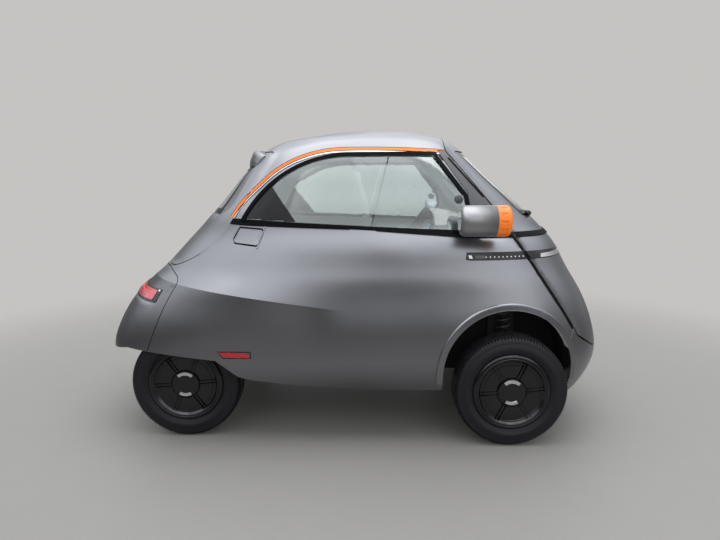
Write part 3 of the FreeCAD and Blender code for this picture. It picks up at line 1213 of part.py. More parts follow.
print("fittings ready", flush=True)

# Every object is checked before anything is written
doc.recompute()
for item in doc.Objects:
    if "Invalid" in item.State or "Error" in item.State:
        raise ValueError("fault in " + item.Name)
for item in nodes:
    if item.Shape.isNull() or not item.Shape.isValid() or not item.Shape.Solids:
        raise ValueError("shape fault in " + item.Label)
os.makedirs("parts", exist_ok=True)
for item in nodes:
    item.Shape.exportStep("parts/%s.step" % item.Label)
    print(item.Label, len(item.Shape.Solids), "solids")
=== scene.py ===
import bpy
import bmesh
import json
import math
from mathutils import Matrix, Vector
from mathutils.bvhtree import BVHTree
from mathutils.kdtree import KDTree


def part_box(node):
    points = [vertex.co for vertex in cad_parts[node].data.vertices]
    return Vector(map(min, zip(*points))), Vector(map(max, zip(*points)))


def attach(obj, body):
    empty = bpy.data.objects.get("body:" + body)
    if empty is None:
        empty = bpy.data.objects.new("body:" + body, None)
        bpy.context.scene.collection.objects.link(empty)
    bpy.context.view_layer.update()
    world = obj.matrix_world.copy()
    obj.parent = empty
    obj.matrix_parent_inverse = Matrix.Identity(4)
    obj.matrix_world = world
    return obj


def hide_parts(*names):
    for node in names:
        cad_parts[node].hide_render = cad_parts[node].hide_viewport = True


# A two-seat bubble microcar, seen from its right side. Metres, +X forward, +Y to the car's left.

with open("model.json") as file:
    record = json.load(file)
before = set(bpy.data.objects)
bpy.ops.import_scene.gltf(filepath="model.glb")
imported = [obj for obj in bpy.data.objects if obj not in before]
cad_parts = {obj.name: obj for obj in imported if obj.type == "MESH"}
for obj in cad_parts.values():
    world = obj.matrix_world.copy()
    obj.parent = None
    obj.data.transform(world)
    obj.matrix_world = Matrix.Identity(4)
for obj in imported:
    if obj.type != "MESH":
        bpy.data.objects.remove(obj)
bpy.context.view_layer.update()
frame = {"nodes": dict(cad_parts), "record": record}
nodes = frame["nodes"]
scene = bpy.context.scene
print("frame loaded,", len(nodes), "nodes")


# Camera, floor and light
cameraSettings = {
    "place": (0.0219, -3.0904, 1.217),
    "turn": (81.205, 0, 0.281),
    "lens": 27.02,
    "sensor": 36,
}
floorSettings = {
    "size": 40,
    "colour": (0.29, 0.286, 0.276, 1),
    "paler": 1.06,  # its second tone, against the first
    "patches": 7.0,  # scale of the noise that mixes the two
    "roughness": 0.55,
    "fadeStart": 1.9,  # metres from the car's middle, where the floor starts to melt into the backdrop
    "fadeEnd": 4.2,
}
skySettings = {
    "wall": (0.56, 0.55, 0.535, 1),
    "diffuse": 0.80,
    "low": (0.22, 0.216, 0.212, 1),
    "side": (0.41, 0.41, 0.42, 1),
    "shoulder": (1.75, 1.83, 1.93, 1),
    "top": (2.3, 2.36, 2.42, 1),
    "stops": ((0.0, "low"), (0.46, "low"), (0.52, "side"), (0.65, "side"), (0.80, "shoulder"), (0.93, "top")),
    "cloudScale": 2.6,
    "cloudNoise": (0.38, 0.62),  # this span of the noise becomes
    "cloudTone": (0.74, 1.30),  # this span of brightness
    "lengthwise": (0.42, 0.90),  # how bright the lower sky is behind the car, and ahead of it
    "evened": (0.12, 0.44),  # heights between which that difference fades out
}
lampSettings = [
    {"name": "ceiling_lamp", "place": (0, -0.4, 3.6), "aim": (0, 0, 0.4), "size": (4.4, 3.2), "power": 80},
    {"name": "side_lamp", "place": (-1.5, -4.2, 2.6), "aim": (0, 0, 0.7), "size": (3.0, 2.0), "power": 8},
    {"name": "fender_lamp", "place": (2.1, -3.1, 1.75), "aim": (0.66, -0.6, 0.70), "size": (2.4, 1.5), "power": 13},
    {"name": "far_lamp", "place": (1.5, 4.2, 2.8), "aim": (0, 0, 0.7), "size": (3.0, 2.0), "power": 8},
]


def setInputs(node, **values):
    for name, value in values.items():
        node.inputs[name.replace("_", " ")].default_value = value


# A new node; each value goes to its property of that name, or else to its socket
def addNode(tree, kind, **values):
    node = tree.nodes.new(kind)
    for name, value in values.items():
        if hasattr(node, name):
            setattr(node, name, value)
        else:
            setInputs(node, **{name: value})
    return node


def startMaterial(name):
    material = bpy.data.materials.new(name)
    material.use_nodes = True
    return material, material.node_tree, material.node_tree.nodes["Principled BSDF"]


def joinNodes(tree, pairs):
    for source, target in pairs:
        tree.links.new(source, target)


def addCamera():
    data = bpy.data.cameras.new("photo_camera")
    data.lens = cameraSettings["lens"]
    data.sensor_width = cameraSettings["sensor"]
    camera = bpy.data.objects.new("photo_camera", data)
    camera.location = cameraSettings["place"]
    camera.rotation_euler = [math.radians(angle) for angle in cameraSettings["turn"]]
    scene.collection.objects.link(camera)
    scene.camera = camera


def addFloor():
    s = floorSettings
    form = bmesh.new()
    bmesh.ops.create_grid(form, x_segments=1, y_segments=1, size=s["size"] / 2)
    mesh = bpy.data.meshes.new("studio_floor")
    form.to_mesh(mesh)
    form.free()
    floor = bpy.data.objects.new("studio_floor", mesh)
    scene.collection.objects.link(floor)
    material, tree, shader = startMaterial("studioFloor")
    setInputs(shader, Roughness=s["roughness"])
    output = tree.nodes["Material Output"]
    coords = addNode(tree, "ShaderNodeTexCoord")
    noise = addNode(tree, "ShaderNodeTexNoise", Scale=s["patches"], Detail=5.0)
    paler = [channel * s["paler"] for channel in s["colour"][:3]] + [1]
    tone = addNode(tree, "ShaderNodeMix", data_type="RGBA", A=s["colour"], B=paler)
    distance = addNode(tree, "ShaderNodeVectorMath", operation="LENGTH")
    fade = addNode(
        tree, "ShaderNodeMapRange", interpolation_type="SMOOTHSTEP", From_Min=s["fadeStart"], From_Max=s["fadeEnd"])
    clear = addNode(tree, "ShaderNodeBsdfTransparent")
    blend = addNode(tree, "ShaderNodeMixShader")
    joinNodes(tree, [
        (coords.outputs["Object"], noise.inputs["Vector"]), (noise.outputs["Fac"], tone.inputs["Factor"]),
        (tone.outputs["Result"], shader.inputs["Base Color"]), (coords.outputs["Object"], distance.inputs[0]),
        (distance.outputs["Value"], fade.inputs["Value"]), (fade.outputs["Result"], blend.inputs["Fac"]),
        (shader.outputs["BSDF"], blend.inputs[1]), (clear.outputs["BSDF"], blend.inputs[2]),
        (blend.outputs["Shader"], output.inputs["Surface"]),
    ])
    mesh.materials.append(material)


# The camera sees a plain wall, a glossy face sees the clouded sky, and the rest gets an even light
def addSky():
    s = skySettings
    world = bpy.data.worlds.new("studioSky")
    scene.world = world
    world.use_nodes = True
    tree = world.node_tree
    tree.nodes.clear()
    output = addNode(tree, "ShaderNodeOutputWorld")
    coords = addNode(tree, "ShaderNodeTexCoord")
    split = addNode(tree, "ShaderNodeSeparateXYZ")
    height = addNode(tree, "ShaderNodeMapRange", From_Min=-1)
    ramp = addNode(tree, "ShaderNodeValToRGB")
    elements = ramp.color_ramp.elements
    while len(elements) < len(s["stops"]):
        elements.new(0.5)
    for element, (place, name) in zip(elements, s["stops"]):
        element.position = place
        element.color = s[name]
    cloud = addNode(tree, "ShaderNodeTexNoise", Scale=s["cloudScale"], Detail=6.0, Roughness=0.55)
    cloudRamp = addNode(
        tree, "ShaderNodeMapRange", From_Min=s["cloudNoise"][0], From_Max=s["cloudNoise"][1],
        To_Min=s["cloudTone"][0], To_Max=s["cloudTone"][1])
    clouded = addNode(tree, "ShaderNodeVectorMath", operation="SCALE")
    lengthwise = addNode(
        tree, "ShaderNodeMapRange", From_Min=-1, To_Min=s["lengthwise"][0], To_Max=s["lengthwise"][1])
    above = addNode(
        tree, "ShaderNodeMapRange", interpolation_type="SMOOTHSTEP", From_Min=s["evened"][0],
        From_Max=s["evened"][1])
    evened = addNode(tree, "ShaderNodeMix", data_type="FLOAT", B=1)
    swept = addNode(tree, "ShaderNodeVectorMath", operation="SCALE")
    path = addNode(tree, "ShaderNodeLightPath")
    seen = addNode(tree, "ShaderNodeMath", operation="MAXIMUM")
    wall = addNode(tree, "ShaderNodeBackground", Color=s["wall"], Strength=1.0)
    mirror = addNode(tree, "ShaderNodeBackground", Strength=1.0)
    soft = addNode(tree, "ShaderNodeBackground", Color=(1, 1, 1, 1), Strength=s["diffuse"])
    glossy = addNode(tree, "ShaderNodeMixShader")
    mixed = addNode(tree, "ShaderNodeMixShader")
    joinNodes(tree, [
        (coords.outputs["Generated"], split.inputs["Vector"]), (split.outputs["Z"], height.inputs["Value"]),
        (height.outputs["Result"], ramp.inputs["Fac"]), (coords.outputs["Generated"], cloud.inputs["Vector"]),
        (cloud.outputs["Fac"], cloudRamp.inputs["Value"]), (ramp.outputs["Color"], clouded.inputs[0]),
        (cloudRamp.outputs["Result"], clouded.inputs["Scale"]), (split.outputs["X"], lengthwise.inputs["Value"]),
        (clouded.outputs["Vector"], swept.inputs[0]), (lengthwise.outputs["Result"], evened.inputs["A"]),
        (split.outputs["Z"], above.inputs["Value"]), (above.outputs["Result"], evened.inputs["Factor"]),
        (evened.outputs["Result"], swept.inputs["Scale"]),
        (swept.outputs["Vector"], mirror.inputs["Color"]),
        (path.outputs["Is Camera Ray"], seen.inputs[0]), (path.outputs["Is Transmission Ray"], seen.inputs[1]),
        (path.outputs["Is Glossy Ray"], glossy.inputs["Fac"]), (soft.outputs["Background"], glossy.inputs[1]),
        (mirror.outputs["Background"], glossy.inputs[2]), (seen.outputs["Value"], mixed.inputs["Fac"]),
        (glossy.outputs["Shader"], mixed.inputs[1]), (wall.outputs["Background"], mixed.inputs[2]),
        (mixed.outputs["Shader"], output.inputs["Surface"]),
    ])


def addLamps():
    for settings in lampSettings:
        data = bpy.data.lights.new(settings["name"], "AREA")
        data.shape = "RECTANGLE"
        data.size, data.size_y = settings["size"]
        data.energy = settings["power"]
        lamp = bpy.data.objects.new(settings["name"], data)
        lamp.location = settings["place"]
        aim = Vector(settings["aim"]) - Vector(settings["place"])
        lamp.rotation_euler = aim.to_track_quat("-Z", "Y").to_euler()
        scene.collection.objects.link(lamp)


scene.view_settings.view_transform = "Standard"
addCamera()
addFloor()
addSky()
addLamps()
print("camera, floor and light ready")


# Shader effects that several finishes share
def startGroup(name, inputs, outputs):
    group = bpy.data.node_groups.new(name, "ShaderNodeTree")
    for label, value in inputs.items():
        socket = group.interface.new_socket(label, in_out="INPUT", socket_type="NodeSocketFloat")
        socket.default_value = value
    for label, kind in outputs.items():
        group.interface.new_socket(label, in_out="OUTPUT", socket_type=kind)
    return group, addNode(group, "NodeGroupInput"), addNode(group, "NodeGroupOutput")


# Fine grain or flakes over slow waves: a bump and a value that varies over the surface
def makeGrainGroup():
    group, inlet, outlet = startGroup(
        "surfaceGrain", {"Scale": 900, "Depth": 0.1, "Waves": 6},
        {"Normal": "NodeSocketVector", "Variation": "NodeSocketFloat", "Slow": "NodeSocketFloat"})
    coords = addNode(group, "ShaderNodeTexCoord")
    fine = addNode(group, "ShaderNodeTexNoise", Detail=2.0, Roughness=0.6)
    slow = addNode(group, "ShaderNodeTexNoise", Detail=3.0, Roughness=0.5)
    bump = addNode(group, "ShaderNodeBump", Distance=0.001)
    joinNodes(group, [
        (coords.outputs["Object"], fine.inputs["Vector"]), (inlet.outputs["Scale"], fine.inputs["Scale"]),
        (coords.outputs["Object"], slow.inputs["Vector"]), (inlet.outputs["Waves"], slow.inputs["Scale"]),
        (inlet.outputs["Depth"], bump.inputs["Strength"]), (fine.outputs["Fac"], bump.inputs["Height"]),
        (bump.outputs["Normal"], outlet.inputs["Normal"]), (fine.outputs["Fac"], outlet.inputs["Variation"]),
        (slow.outputs["Fac"], outlet.inputs["Slow"]),
    ])
    return group


# Dust that settles on faces that look up, broken into patches
def makeDustGroup():
    group, inlet, outlet = startGroup("settledDust", {"Amount": 0.2, "Scale": 9}, {"Mask": "NodeSocketFloat"})
    coords = addNode(group, "ShaderNodeTexCoord")
    geometry = addNode(group, "ShaderNodeNewGeometry")
    split = addNode(group, "ShaderNodeSeparateXYZ")
    patches = addNode(group, "ShaderNodeTexNoise", Detail=6.0, Roughness=0.65)
    ups = addNode(group, "ShaderNodeMapRange", interpolation_type="SMOOTHSTEP", From_Min=-0.3, To_Min=0.25)
    spread = addNode(group, "ShaderNodeMath", operation="MULTIPLY")
    mask = addNode(group, "ShaderNodeMath", operation="MULTIPLY", use_clamp=True)
    joinNodes(group, [
        (geometry.outputs["Normal"], split.inputs["Vector"]), (split.outputs["Z"], ups.inputs["Value"]),
        (coords.outputs["Object"], patches.inputs["Vector"]), (inlet.outputs["Scale"], patches.inputs["Scale"]),
        (ups.outputs["Result"], spread.inputs[0]), (patches.outputs["Fac"], spread.inputs[1]),
        (spread.outputs["Value"], mask.inputs[0]), (inlet.outputs["Amount"], mask.inputs[1]),
        (mask.outputs["Value"], outlet.inputs["Mask"]),
    ])
    return group


# Two crossing sets of threads
def makeWeaveGroup():
    group, inlet, outlet = startGroup(
        "wovenCloth", {"Scale": 150, "Depth": 0.5}, {"Normal": "NodeSocketVector", "Threads": "NodeSocketFloat"})
    coords = addNode(group, "ShaderNodeTexCoord")
    warp = addNode(group, "ShaderNodeTexWave", bands_direction="Y", Distortion=0.6, Detail=2.0)
    weft = addNode(group, "ShaderNodeTexWave", bands_direction="DIAGONAL", Distortion=0.6, Detail=2.0)
    threads = addNode(group, "ShaderNodeMath", operation="MULTIPLY")
    bump = addNode(group, "ShaderNodeBump", Distance=0.002)
    joinNodes(group, [
        (coords.outputs["Object"], warp.inputs["Vector"]), (inlet.outputs["Scale"], warp.inputs["Scale"]),
        (coords.outputs["Object"], weft.inputs["Vector"]), (inlet.outputs["Scale"], weft.inputs["Scale"]),
        (warp.outputs["Fac"], threads.inputs[0]), (weft.outputs["Fac"], threads.inputs[1]),
        (threads.outputs["Value"], bump.inputs["Height"]), (inlet.outputs["Depth"], bump.inputs["Strength"]),
        (bump.outputs["Normal"], outlet.inputs["Normal"]), (threads.outputs["Value"], outlet.inputs["Threads"]),
    ])
    return group


grainGroup = makeGrainGroup()
dustGroup = makeDustGroup()
weaveGroup = makeWeaveGroup()


def placeGroup(tree, group, values):
    node = tree.nodes.new("ShaderNodeGroup")
    node.node_tree = group
    for label, value in values.items():
        node.inputs[label].default_value = value
    return node


def mixColours(tree, factor, first, second):
    mix = addNode(tree, "ShaderNodeMix", data_type="RGBA")
    tree.links.new(factor, mix.inputs["Factor"])
    for socket, colour in ((mix.inputs["A"], first), (mix.inputs["B"], second)):
        if isinstance(colour, bpy.types.NodeSocket):
            tree.links.new(colour, socket)
        else:
            socket.default_value = (*colour, 1)
    return mix.outputs["Result"]


def varyRoughness(tree, shader, source, low, high):
    spread = addNode(tree, "ShaderNodeMapRange", From_Min=0.3, From_Max=0.7, To_Min=low, To_Max=high)
    joinNodes(tree, [(source, spread.inputs["Value"]), (spread.outputs["Result"], shader.inputs["Roughness"])])


# Solid finishes: two shades, a range of roughness, grain, some dust, and other sockets of the shader
def solidFinish(name, shades, roughness, grain, dust, sockets):
    material, tree, shader = startMaterial(name)
    texture = placeGroup(tree, grainGroup, dict(zip(("Scale", "Depth", "Waves"), grain)))
    colour = mixColours(tree, texture.outputs["Slow"], *shades)
    if dust:
        settled = placeGroup(tree, dustGroup, {"Amount": dust})
        colour = mixColours(tree, settled.outputs["Mask"], colour, dustColour)
    joinNodes(tree, [(colour, shader.inputs["Base Color"]), (texture.outputs["Normal"], shader.inputs["Normal"])])
    varyRoughness(tree, shader, texture.outputs["Slow"], *roughness)
    setInputs(shader, Coat_Roughness=0.1)
    setInputs(shader, **sockets)
    return material


def clothFinish(name, worn, threads, scale, depth):
    material, tree, shader = startMaterial(name)
    weave = placeGroup(tree, weaveGroup, {"Scale": scale, "Depth": depth})
    texture = placeGroup(tree, grainGroup, {"Scale": 700, "Depth": 0.2, "Waves": 11})
    ground = mixColours(tree, texture.outputs["Slow"], *worn)
    colour = mixColours(tree, weave.outputs["Threads"], ground, threads)
    joinNodes(tree, [(colour, shader.inputs["Base Color"]), (weave.outputs["Normal"], shader.inputs["Normal"])])
    varyRoughness(tree, shader, texture.outputs["Slow"], 0.8, 0.95)
    setInputs(shader, Sheen_Weight=0.25, Sheen_Roughness=0.5)
    return material


# Clear or tinted glass; light on its way into the cabin passes straight through it
def glassFinish(name, tint, ior):
    material, tree, shader = startMaterial(name)
    texture = placeGroup(tree, grainGroup, {"Scale": 14, "Depth": 0.004, "Waves": 3})
    colour = mixColours(tree, texture.outputs["Slow"], tint, [channel * 0.96 for channel in tint])
    output = tree.nodes["Material Output"]
    path = addNode(tree, "ShaderNodeLightPath")
    passing = addNode(tree, "ShaderNodeMath", operation="MAXIMUM")
    clear = addNode(tree, "ShaderNodeBsdfTransparent")
    blend = addNode(tree, "ShaderNodeMixShader")
    joinNodes(tree, [
        (colour, shader.inputs["Base Color"]), (texture.outputs["Normal"], shader.inputs["Normal"]),
        (colour, clear.inputs["Color"]), (path.outputs["Is Shadow Ray"], passing.inputs[0]),
        (path.outputs["Is Diffuse Ray"], passing.inputs[1]), (passing.outputs["Value"], blend.inputs["Fac"]),
        (shader.outputs["BSDF"], blend.inputs[1]), (clear.outputs["BSDF"], blend.inputs[2]),
        (blend.outputs["Shader"], output.inputs["Surface"]),
    ])
    setInputs(shader, Roughness=0.0, IOR=ior, Transmission_Weight=1.0)
    return material


def lightFinish(name, colour, strength):
    material, tree, shader = startMaterial(name)
    texture = placeGroup(tree, grainGroup, {"Scale": 300, "Depth": 0.02, "Waves": 40})
    glow = mixColours(tree, texture.outputs["Slow"], colour, [channel * 0.85 for channel in colour])
    joinNodes(tree, [(glow, shader.inputs["Base Color"]), (glow, shader.inputs["Emission Color"])])
    setInputs(shader, Emission_Strength=strength, Roughness=0.2)
    return material


dustColour = (0.30, 0.29, 0.27)
# For each: two shades, the range of roughness, the grain's scale, depth and waves, dust, other sockets
solidFinishes = {
    "bodyPaint": (
        [(0.180, 0.183, 0.196), (0.205, 0.207, 0.221)], (0.31, 0.37), (2600, 0.035, 2.2), 0.02,
        {"Metallic": 0.95, "Coat Weight": 0.2, "Coat Roughness": 0.28}),
    "lightPaint": (
        [(0.24, 0.24, 0.25), (0.27, 0.27, 0.28)], (0.36, 0.42), (2600, 0.035, 2.2), 0.03,
        {"Metallic": 0.75, "Coat Weight": 0.2, "Coat Roughness": 0.3}),
    "orangeTrim": ([(0.93, 0.19, 0.007), (0.98, 0.21, 0.009)], (0.32, 0.4), (700, 0.03, 5), 0.03, {}),
    "blackTrim": (
        [(0.0025, 0.0025, 0.003), (0.004, 0.004, 0.005)], (0.40, 0.50), (1400, 0.10, 9), 0.0,
        {"Specular IOR Level": 0.05}),
    "glossBlack": (
        [(0.010, 0.010, 0.012), (0.016, 0.016, 0.018)], (0.10, 0.18), (500, 0.01, 4), 0.02,
        {"Coat Weight": 0.12, "Coat Roughness": 0.05, "Specular IOR Level": 0.2}),
    "greyCover": ([(0.045, 0.047, 0.052), (0.06, 0.062, 0.068)], (0.22, 0.30), (800, 0.02, 4), 0.03, {}),
    "rubber": (
        [(0.006, 0.006, 0.008), (0.010, 0.010, 0.013)], (0.46, 0.60), (600, 0.22, 12), 0.03,
        {"Specular IOR Level": 0.26}),
    "rimSteel": ([(0.02, 0.02, 0.022), (0.03, 0.03, 0.032)], (0.4, 0.5), (900, 0.05, 10), 0.15, {}),
    "coverBlack": (
        [(0.0025, 0.0025, 0.004), (0.004, 0.004, 0.006)], (0.12, 0.18), (900, 0.03, 10), 0.0,
        {"Specular IOR Level": 0.42}),
    "chassisCoat": (
        [(0.012, 0.012, 0.013), (0.020, 0.020, 0.020)], (0.45, 0.65), (260, 0.25, 14), 0.12,
        {"Specular IOR Level": 0.25}),
    "machinedMetal": (
        [(0.50, 0.50, 0.51), (0.60, 0.60, 0.61)], (0.3, 0.42), (700, 0.08, 16), 0.15, {"Metallic": 1.0}),
    "castMetal": ([(0.36, 0.36, 0.37), (0.44, 0.44, 0.45)], (0.45, 0.6), (420, 0.3, 12), 0.25, {"Metallic": 0.9}),
    "satinMetal": (
        [(0.58, 0.58, 0.60), (0.64, 0.64, 0.66)], (0.26, 0.34), (1200, 0.03, 8), 0.03, {"Metallic": 1.0}),
    "mirrorFace": ([(0.86, 0.87, 0.88), (0.90, 0.91, 0.92)], (0.01, 0.03), (90, 0.001, 3), 0.0, {"Metallic": 1.0}),
    "floorMat": ([(0.03, 0.03, 0.032), (0.05, 0.05, 0.052)], (0.8, 0.95), (500, 0.8, 20), 0.1, {}),
    "caseGrey": ([(0.12, 0.12, 0.125), (0.16, 0.16, 0.165)], (0.45, 0.6), (300, 0.2, 9), 0.15, {}),
    "cabinPlastic": ([(0.022, 0.022, 0.024), (0.032, 0.032, 0.035)], (0.5, 0.65), (1100, 0.3, 9), 0.04, {}),
    "linerFelt": (
        [(0.008, 0.008, 0.008), (0.014, 0.014, 0.014)], (0.85, 0.95), (340, 0.9, 20), 0.05,
        {"Specular IOR Level": 0.2}),
    "redLens": (
        [(0.36, 0.008, 0.018), (0.46, 0.012, 0.026)], (0.12, 0.2), (240, 0.05, 60), 0.0,
        {"Coat Weight": 0.6, "Coat Roughness": 0.05}),
    "springCoat": ([(0.05, 0.05, 0.055), (0.075, 0.075, 0.08)], (0.35, 0.5), (500, 0.06, 15), 0.2, {}),
}
clothFinishes = {  # two worn shades, the threads' shade, the weave's scale and depth
    "liningCloth": ([(0.52, 0.53, 0.53), (0.58, 0.59, 0.59)], (0.64, 0.65, 0.65), 190, 0.3),
    "seatCloth": ([(0.10, 0.10, 0.105), (0.14, 0.14, 0.145)], (0.22, 0.22, 0.225), 120, 0.6),
}
glassFinishes = {
    "windowGlass": ((0.84, 0.95, 0.94), 2.2),
    "screenGlass": ((0.88, 0.96, 0.95), 1.5),
    "lampLens": ((0.96, 0.97, 0.98), 1.45),
}
lightFinishes = {
    "lampGlow": ((0.62, 0.64, 0.68), 0.25),
    "tailGlow": ((0.75, 0.05, 0.06), 0.35),
    "screenGlow": ((0.10, 0.32, 0.42), 0.6),
}
finishes = {}
for recipe, rows in (
        (solidFinish, solidFinishes), (clothFinish, clothFinishes), (glassFinish, glassFinishes),
        (lightFinish, lightFinishes)):
    for name, values in rows.items():
        finishes[name] = recipe(name, *values)
print("finishes ready,", len(finishes))

slotFinishes = {
    "body_paint": "bodyPaint", "light_paint": "lightPaint", "orange_trim": "orangeTrim", "black_trim": "blackTrim",
    "gloss_black": "glossBlack", "glass": "windowGlass", "red_lens": "redLens", "lamp_lens": "lampLens",
    "mirror": "mirrorFace", "tyre": "rubber", "rim_steel": "rimSteel", "cover_black": "coverBlack",
    "chassis": "chassisCoat", "machined": "machinedMetal", "floor_grey": "floorMat", "battery_case": "caseGrey",
    "motor_case": "castMetal", "seat_fabric": "seatCloth", "cabin_plastic": "cabinPlastic", "liner": "linerFelt",
    "door_bar_metal": "satinMetal",
}
nodeFinishes = {"pillar_covers": "greyCover"}
nodeSlots = {row["node"]: row["material_slot"] for row in frame["record"]["subparts"]}
for name, item in nodes.items():
    finish = finishes[nodeFinishes.get(name, slotFinishes[nodeSlots[name]])]
    for holder in item.material_slots:
        holder.link = "OBJECT"
        holder.material = finish


# Panels with smooth skins
panelSettings = {
    "lined": ("upper_body", "lower_body", "front_door", "tailgate"),
    "unlined": ("front_bumper", "rear_bumper", "roof_panel", "charge_flap"),
    "creased": ("lower_body", "rear_bumper"),
    "merge": 0.00002,
    "middle": (0, 0, 0.72),
    "stretch": 0.35,  # how much a face's place along the car counts in telling inside from outside
    "lining": "liningCloth",
    "spacing": 0.02,  # of the points that tell which way the skin looks
    "inset": 0.33,
    "reach": 0.034,  # how far round a corner these are averaged
    "agree": 0.55,  # and how near a point's facing has to be to count
}
creaseSettings = {
    "point": (-0.80, 0, 0.738),  # on the crease over the rear wheel
    "slope": -0.120,  # its fall for each metre forward
    "cuts": (-0.14, -0.09, -0.05, -0.02, 0.0, 0.02, 0.05),  # heights from it where the skin gets a row of points
    "cutBehind": 0.1,
    "from": -0.05,  # it starts to show here, and is at its full strength there
    "to": -0.36,
    "tilt": 0.40,  # how far faces under it lean down, and those over it up
    "lift": 0.04,
    "reach": 0.12,
    "level": 0.85,  # a face that looks up or down more than this keeps its facing
    "roofFrom": 1.03,  # over this height the rear of the roof leans up
    "roofBlend": 0.08,
    "roofLift": 0.24,
    "sillTop": 0.42,  # under this height the sills lean down, less towards both ends of the car
    "sillBlend": 0.12,
    "sillLean": 0.55,
    "sillReach": 1.4,
}
bodyOfNode = {name: body for body, members in frame["record"]["behaviour"]["bodies"].items() for name in members}


def finishPiece(name, form, finishNames, body, sharp=32):
    mesh = bpy.data.meshes.new(name)
    form.to_mesh(mesh)
    form.free()
    mesh.shade_smooth()
    mesh.set_sharp_from_angle(angle=math.radians(sharp))
    for finishName in finishNames:
        mesh.materials.append(finishes[finishName])
    piece = bpy.data.objects.new(name, mesh)
    scene.collection.objects.link(piece)
    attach(piece, body)
    return piece


# Points all over the panels, each with the way its face looks, times its area
def gatherFacings(names):
    places = []
    facings = []
    for name in names:
        mesh = nodes[name].data
        for polygon in mesh.polygons:
            corners = [mesh.vertices[index].co for index in polygon.vertices]
            longest = max((corners[k] - corners[k - 1]).length for k in range(3))
            steps = max(1, math.ceil(longest / panelSettings["spacing"]))
            if polygon.area < panelSettings["spacing"] ** 2:
                far = max(range(3), key=lambda k: (corners[k] - polygon.center).length)
                near = (corners[far - 1] + corners[far - 2]) / 2
                spots = [corners[far].lerp(near, (k + 0.5) / steps) for k in range(steps)]
            else:
                spots = []
                for row in range(steps):
                    for column in range(steps - row):
                        first = (row + panelSettings["inset"]) / steps
                        second = (column + panelSettings["inset"]) / steps
                        spots.append(
                            corners[0] + (corners[1] - corners[0]) * first + (corners[2] - corners[0]) * second)
            for spot in spots:
                places.append(spot)
                facings.append(polygon.normal * (polygon.area / len(spots)))
    tree = KDTree(len(places))
    for index, place in enumerate(places):
        tree.insert(place, index)
    tree.balance()
    return tree, facings


def clamped(value):
    return max(0.0, min(1.0, value))


def aboveCrease(place):
    s = creaseSettings
    return place[2] - s["point"][2] - s["slope"] * (place[0] - s["point"][0])


# The skin cut into rows along the crease over the rear wheel, so that it can have a crisp edge there
def cutCrease(form):
    s = creaseSettings
    for height in s["cuts"]:
        rear = [face for face in form.faces if face.calc_center_median().x < s["cutBehind"]]
        parts = {edge for face in rear for edge in face.edges} | {vertex for face in rear for vertex in face.verts}
        place = Vector(s["point"]) + Vector((0, 0, height))
        bmesh.ops.bisect_plane(form, geom=rear + list(parts), dist=0.00001, plane_co=place,
                               plane_no=Vector((-s["slope"], 0, 1)).normalized())


# A normal leant up or down at the crease, at the rear of the roof and at the sills
def leanNormal(normal, place, over):
    s = creaseSettings
    if abs(normal.z) > s["level"]:
        return normal
    share = clamped((s["from"] - place.x) / (s["from"] - s["to"]))
    share *= share * (3 - 2 * share)
    far = math.exp(-(aboveCrease(place) / s["reach"]) ** 2)
    change = (s["lift"] if over else -s["tilt"]) * share * far
    change += s["roofLift"] * share * clamped((place.z - s["roofFrom"]) / s["roofBlend"])
    change -= s["sillLean"] * clamped((s["sillTop"] - place.z) / s["sillBlend"]) * (1 - abs(place.x) / s["sillReach"])
    return (normal + Vector((0, 0, change))).normalized()


# Normals averaged over a few centimetres, so that slim facets at a cut-out don't dent the highlights
def calmNormals(mesh, tree, facings):
    reach = panelSettings["reach"]
    known = {}
    normals = []
    for polygon in mesh.polygons:
        facing = polygon.normal
        over = aboveCrease(polygon.center) > 0
        for index in polygon.vertices:
            key = (index, over, round(facing.x * 3), round(facing.y * 3), round(facing.z * 3))
            if key not in known:
                total = Vector((0, 0, 0))
                for place, number, distance in tree.find_range(mesh.vertices[index].co, reach):
                    sample = facings[number]
                    if sample.dot(facing) > panelSettings["agree"] * sample.length:
                        total += sample * (1 - (distance / reach) ** 2)
                smooth = total.normalized() if total.length > 0 else facing.copy()
                known[key] = leanNormal(smooth, mesh.vertices[index].co, over)
            normals.append(known[key])
    mesh.normals_split_custom_set(normals)


facingTree, facings = gatherFacings(panelSettings["lined"] + panelSettings["unlined"])
print("panel facings gathered,", len(facings))


# A merged copy of a node, so that light runs smoothly over it; faces that look inwards get the lining
def smoothCopy(nodeName, finishName, lined=False, calm=False):
    form = bmesh.new()
    form.from_mesh(nodes[nodeName].data)
    bmesh.ops.remove_doubles(form, verts=form.verts, dist=panelSettings["merge"])
    if nodeName in panelSettings["creased"]:
        cutCrease(form)
    names = [finishName]
    for face in form.faces:
        face.material_index = 0
    if lined:
        names.append(panelSettings["lining"])
        middle = Vector(panelSettings["middle"])
        for face in form.faces:
            outward = face.calc_center_median() - middle
            outward.x *= panelSettings["stretch"]
            face.material_index = 1 if face.normal.dot(outward) < 0 else 0
    piece = finishPiece(nodeName + "_panel", form, names, bodyOfNode[nodeName])
    if calm:
        calmNormals(piece.data, facingTree, facings)
    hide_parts(nodeName)


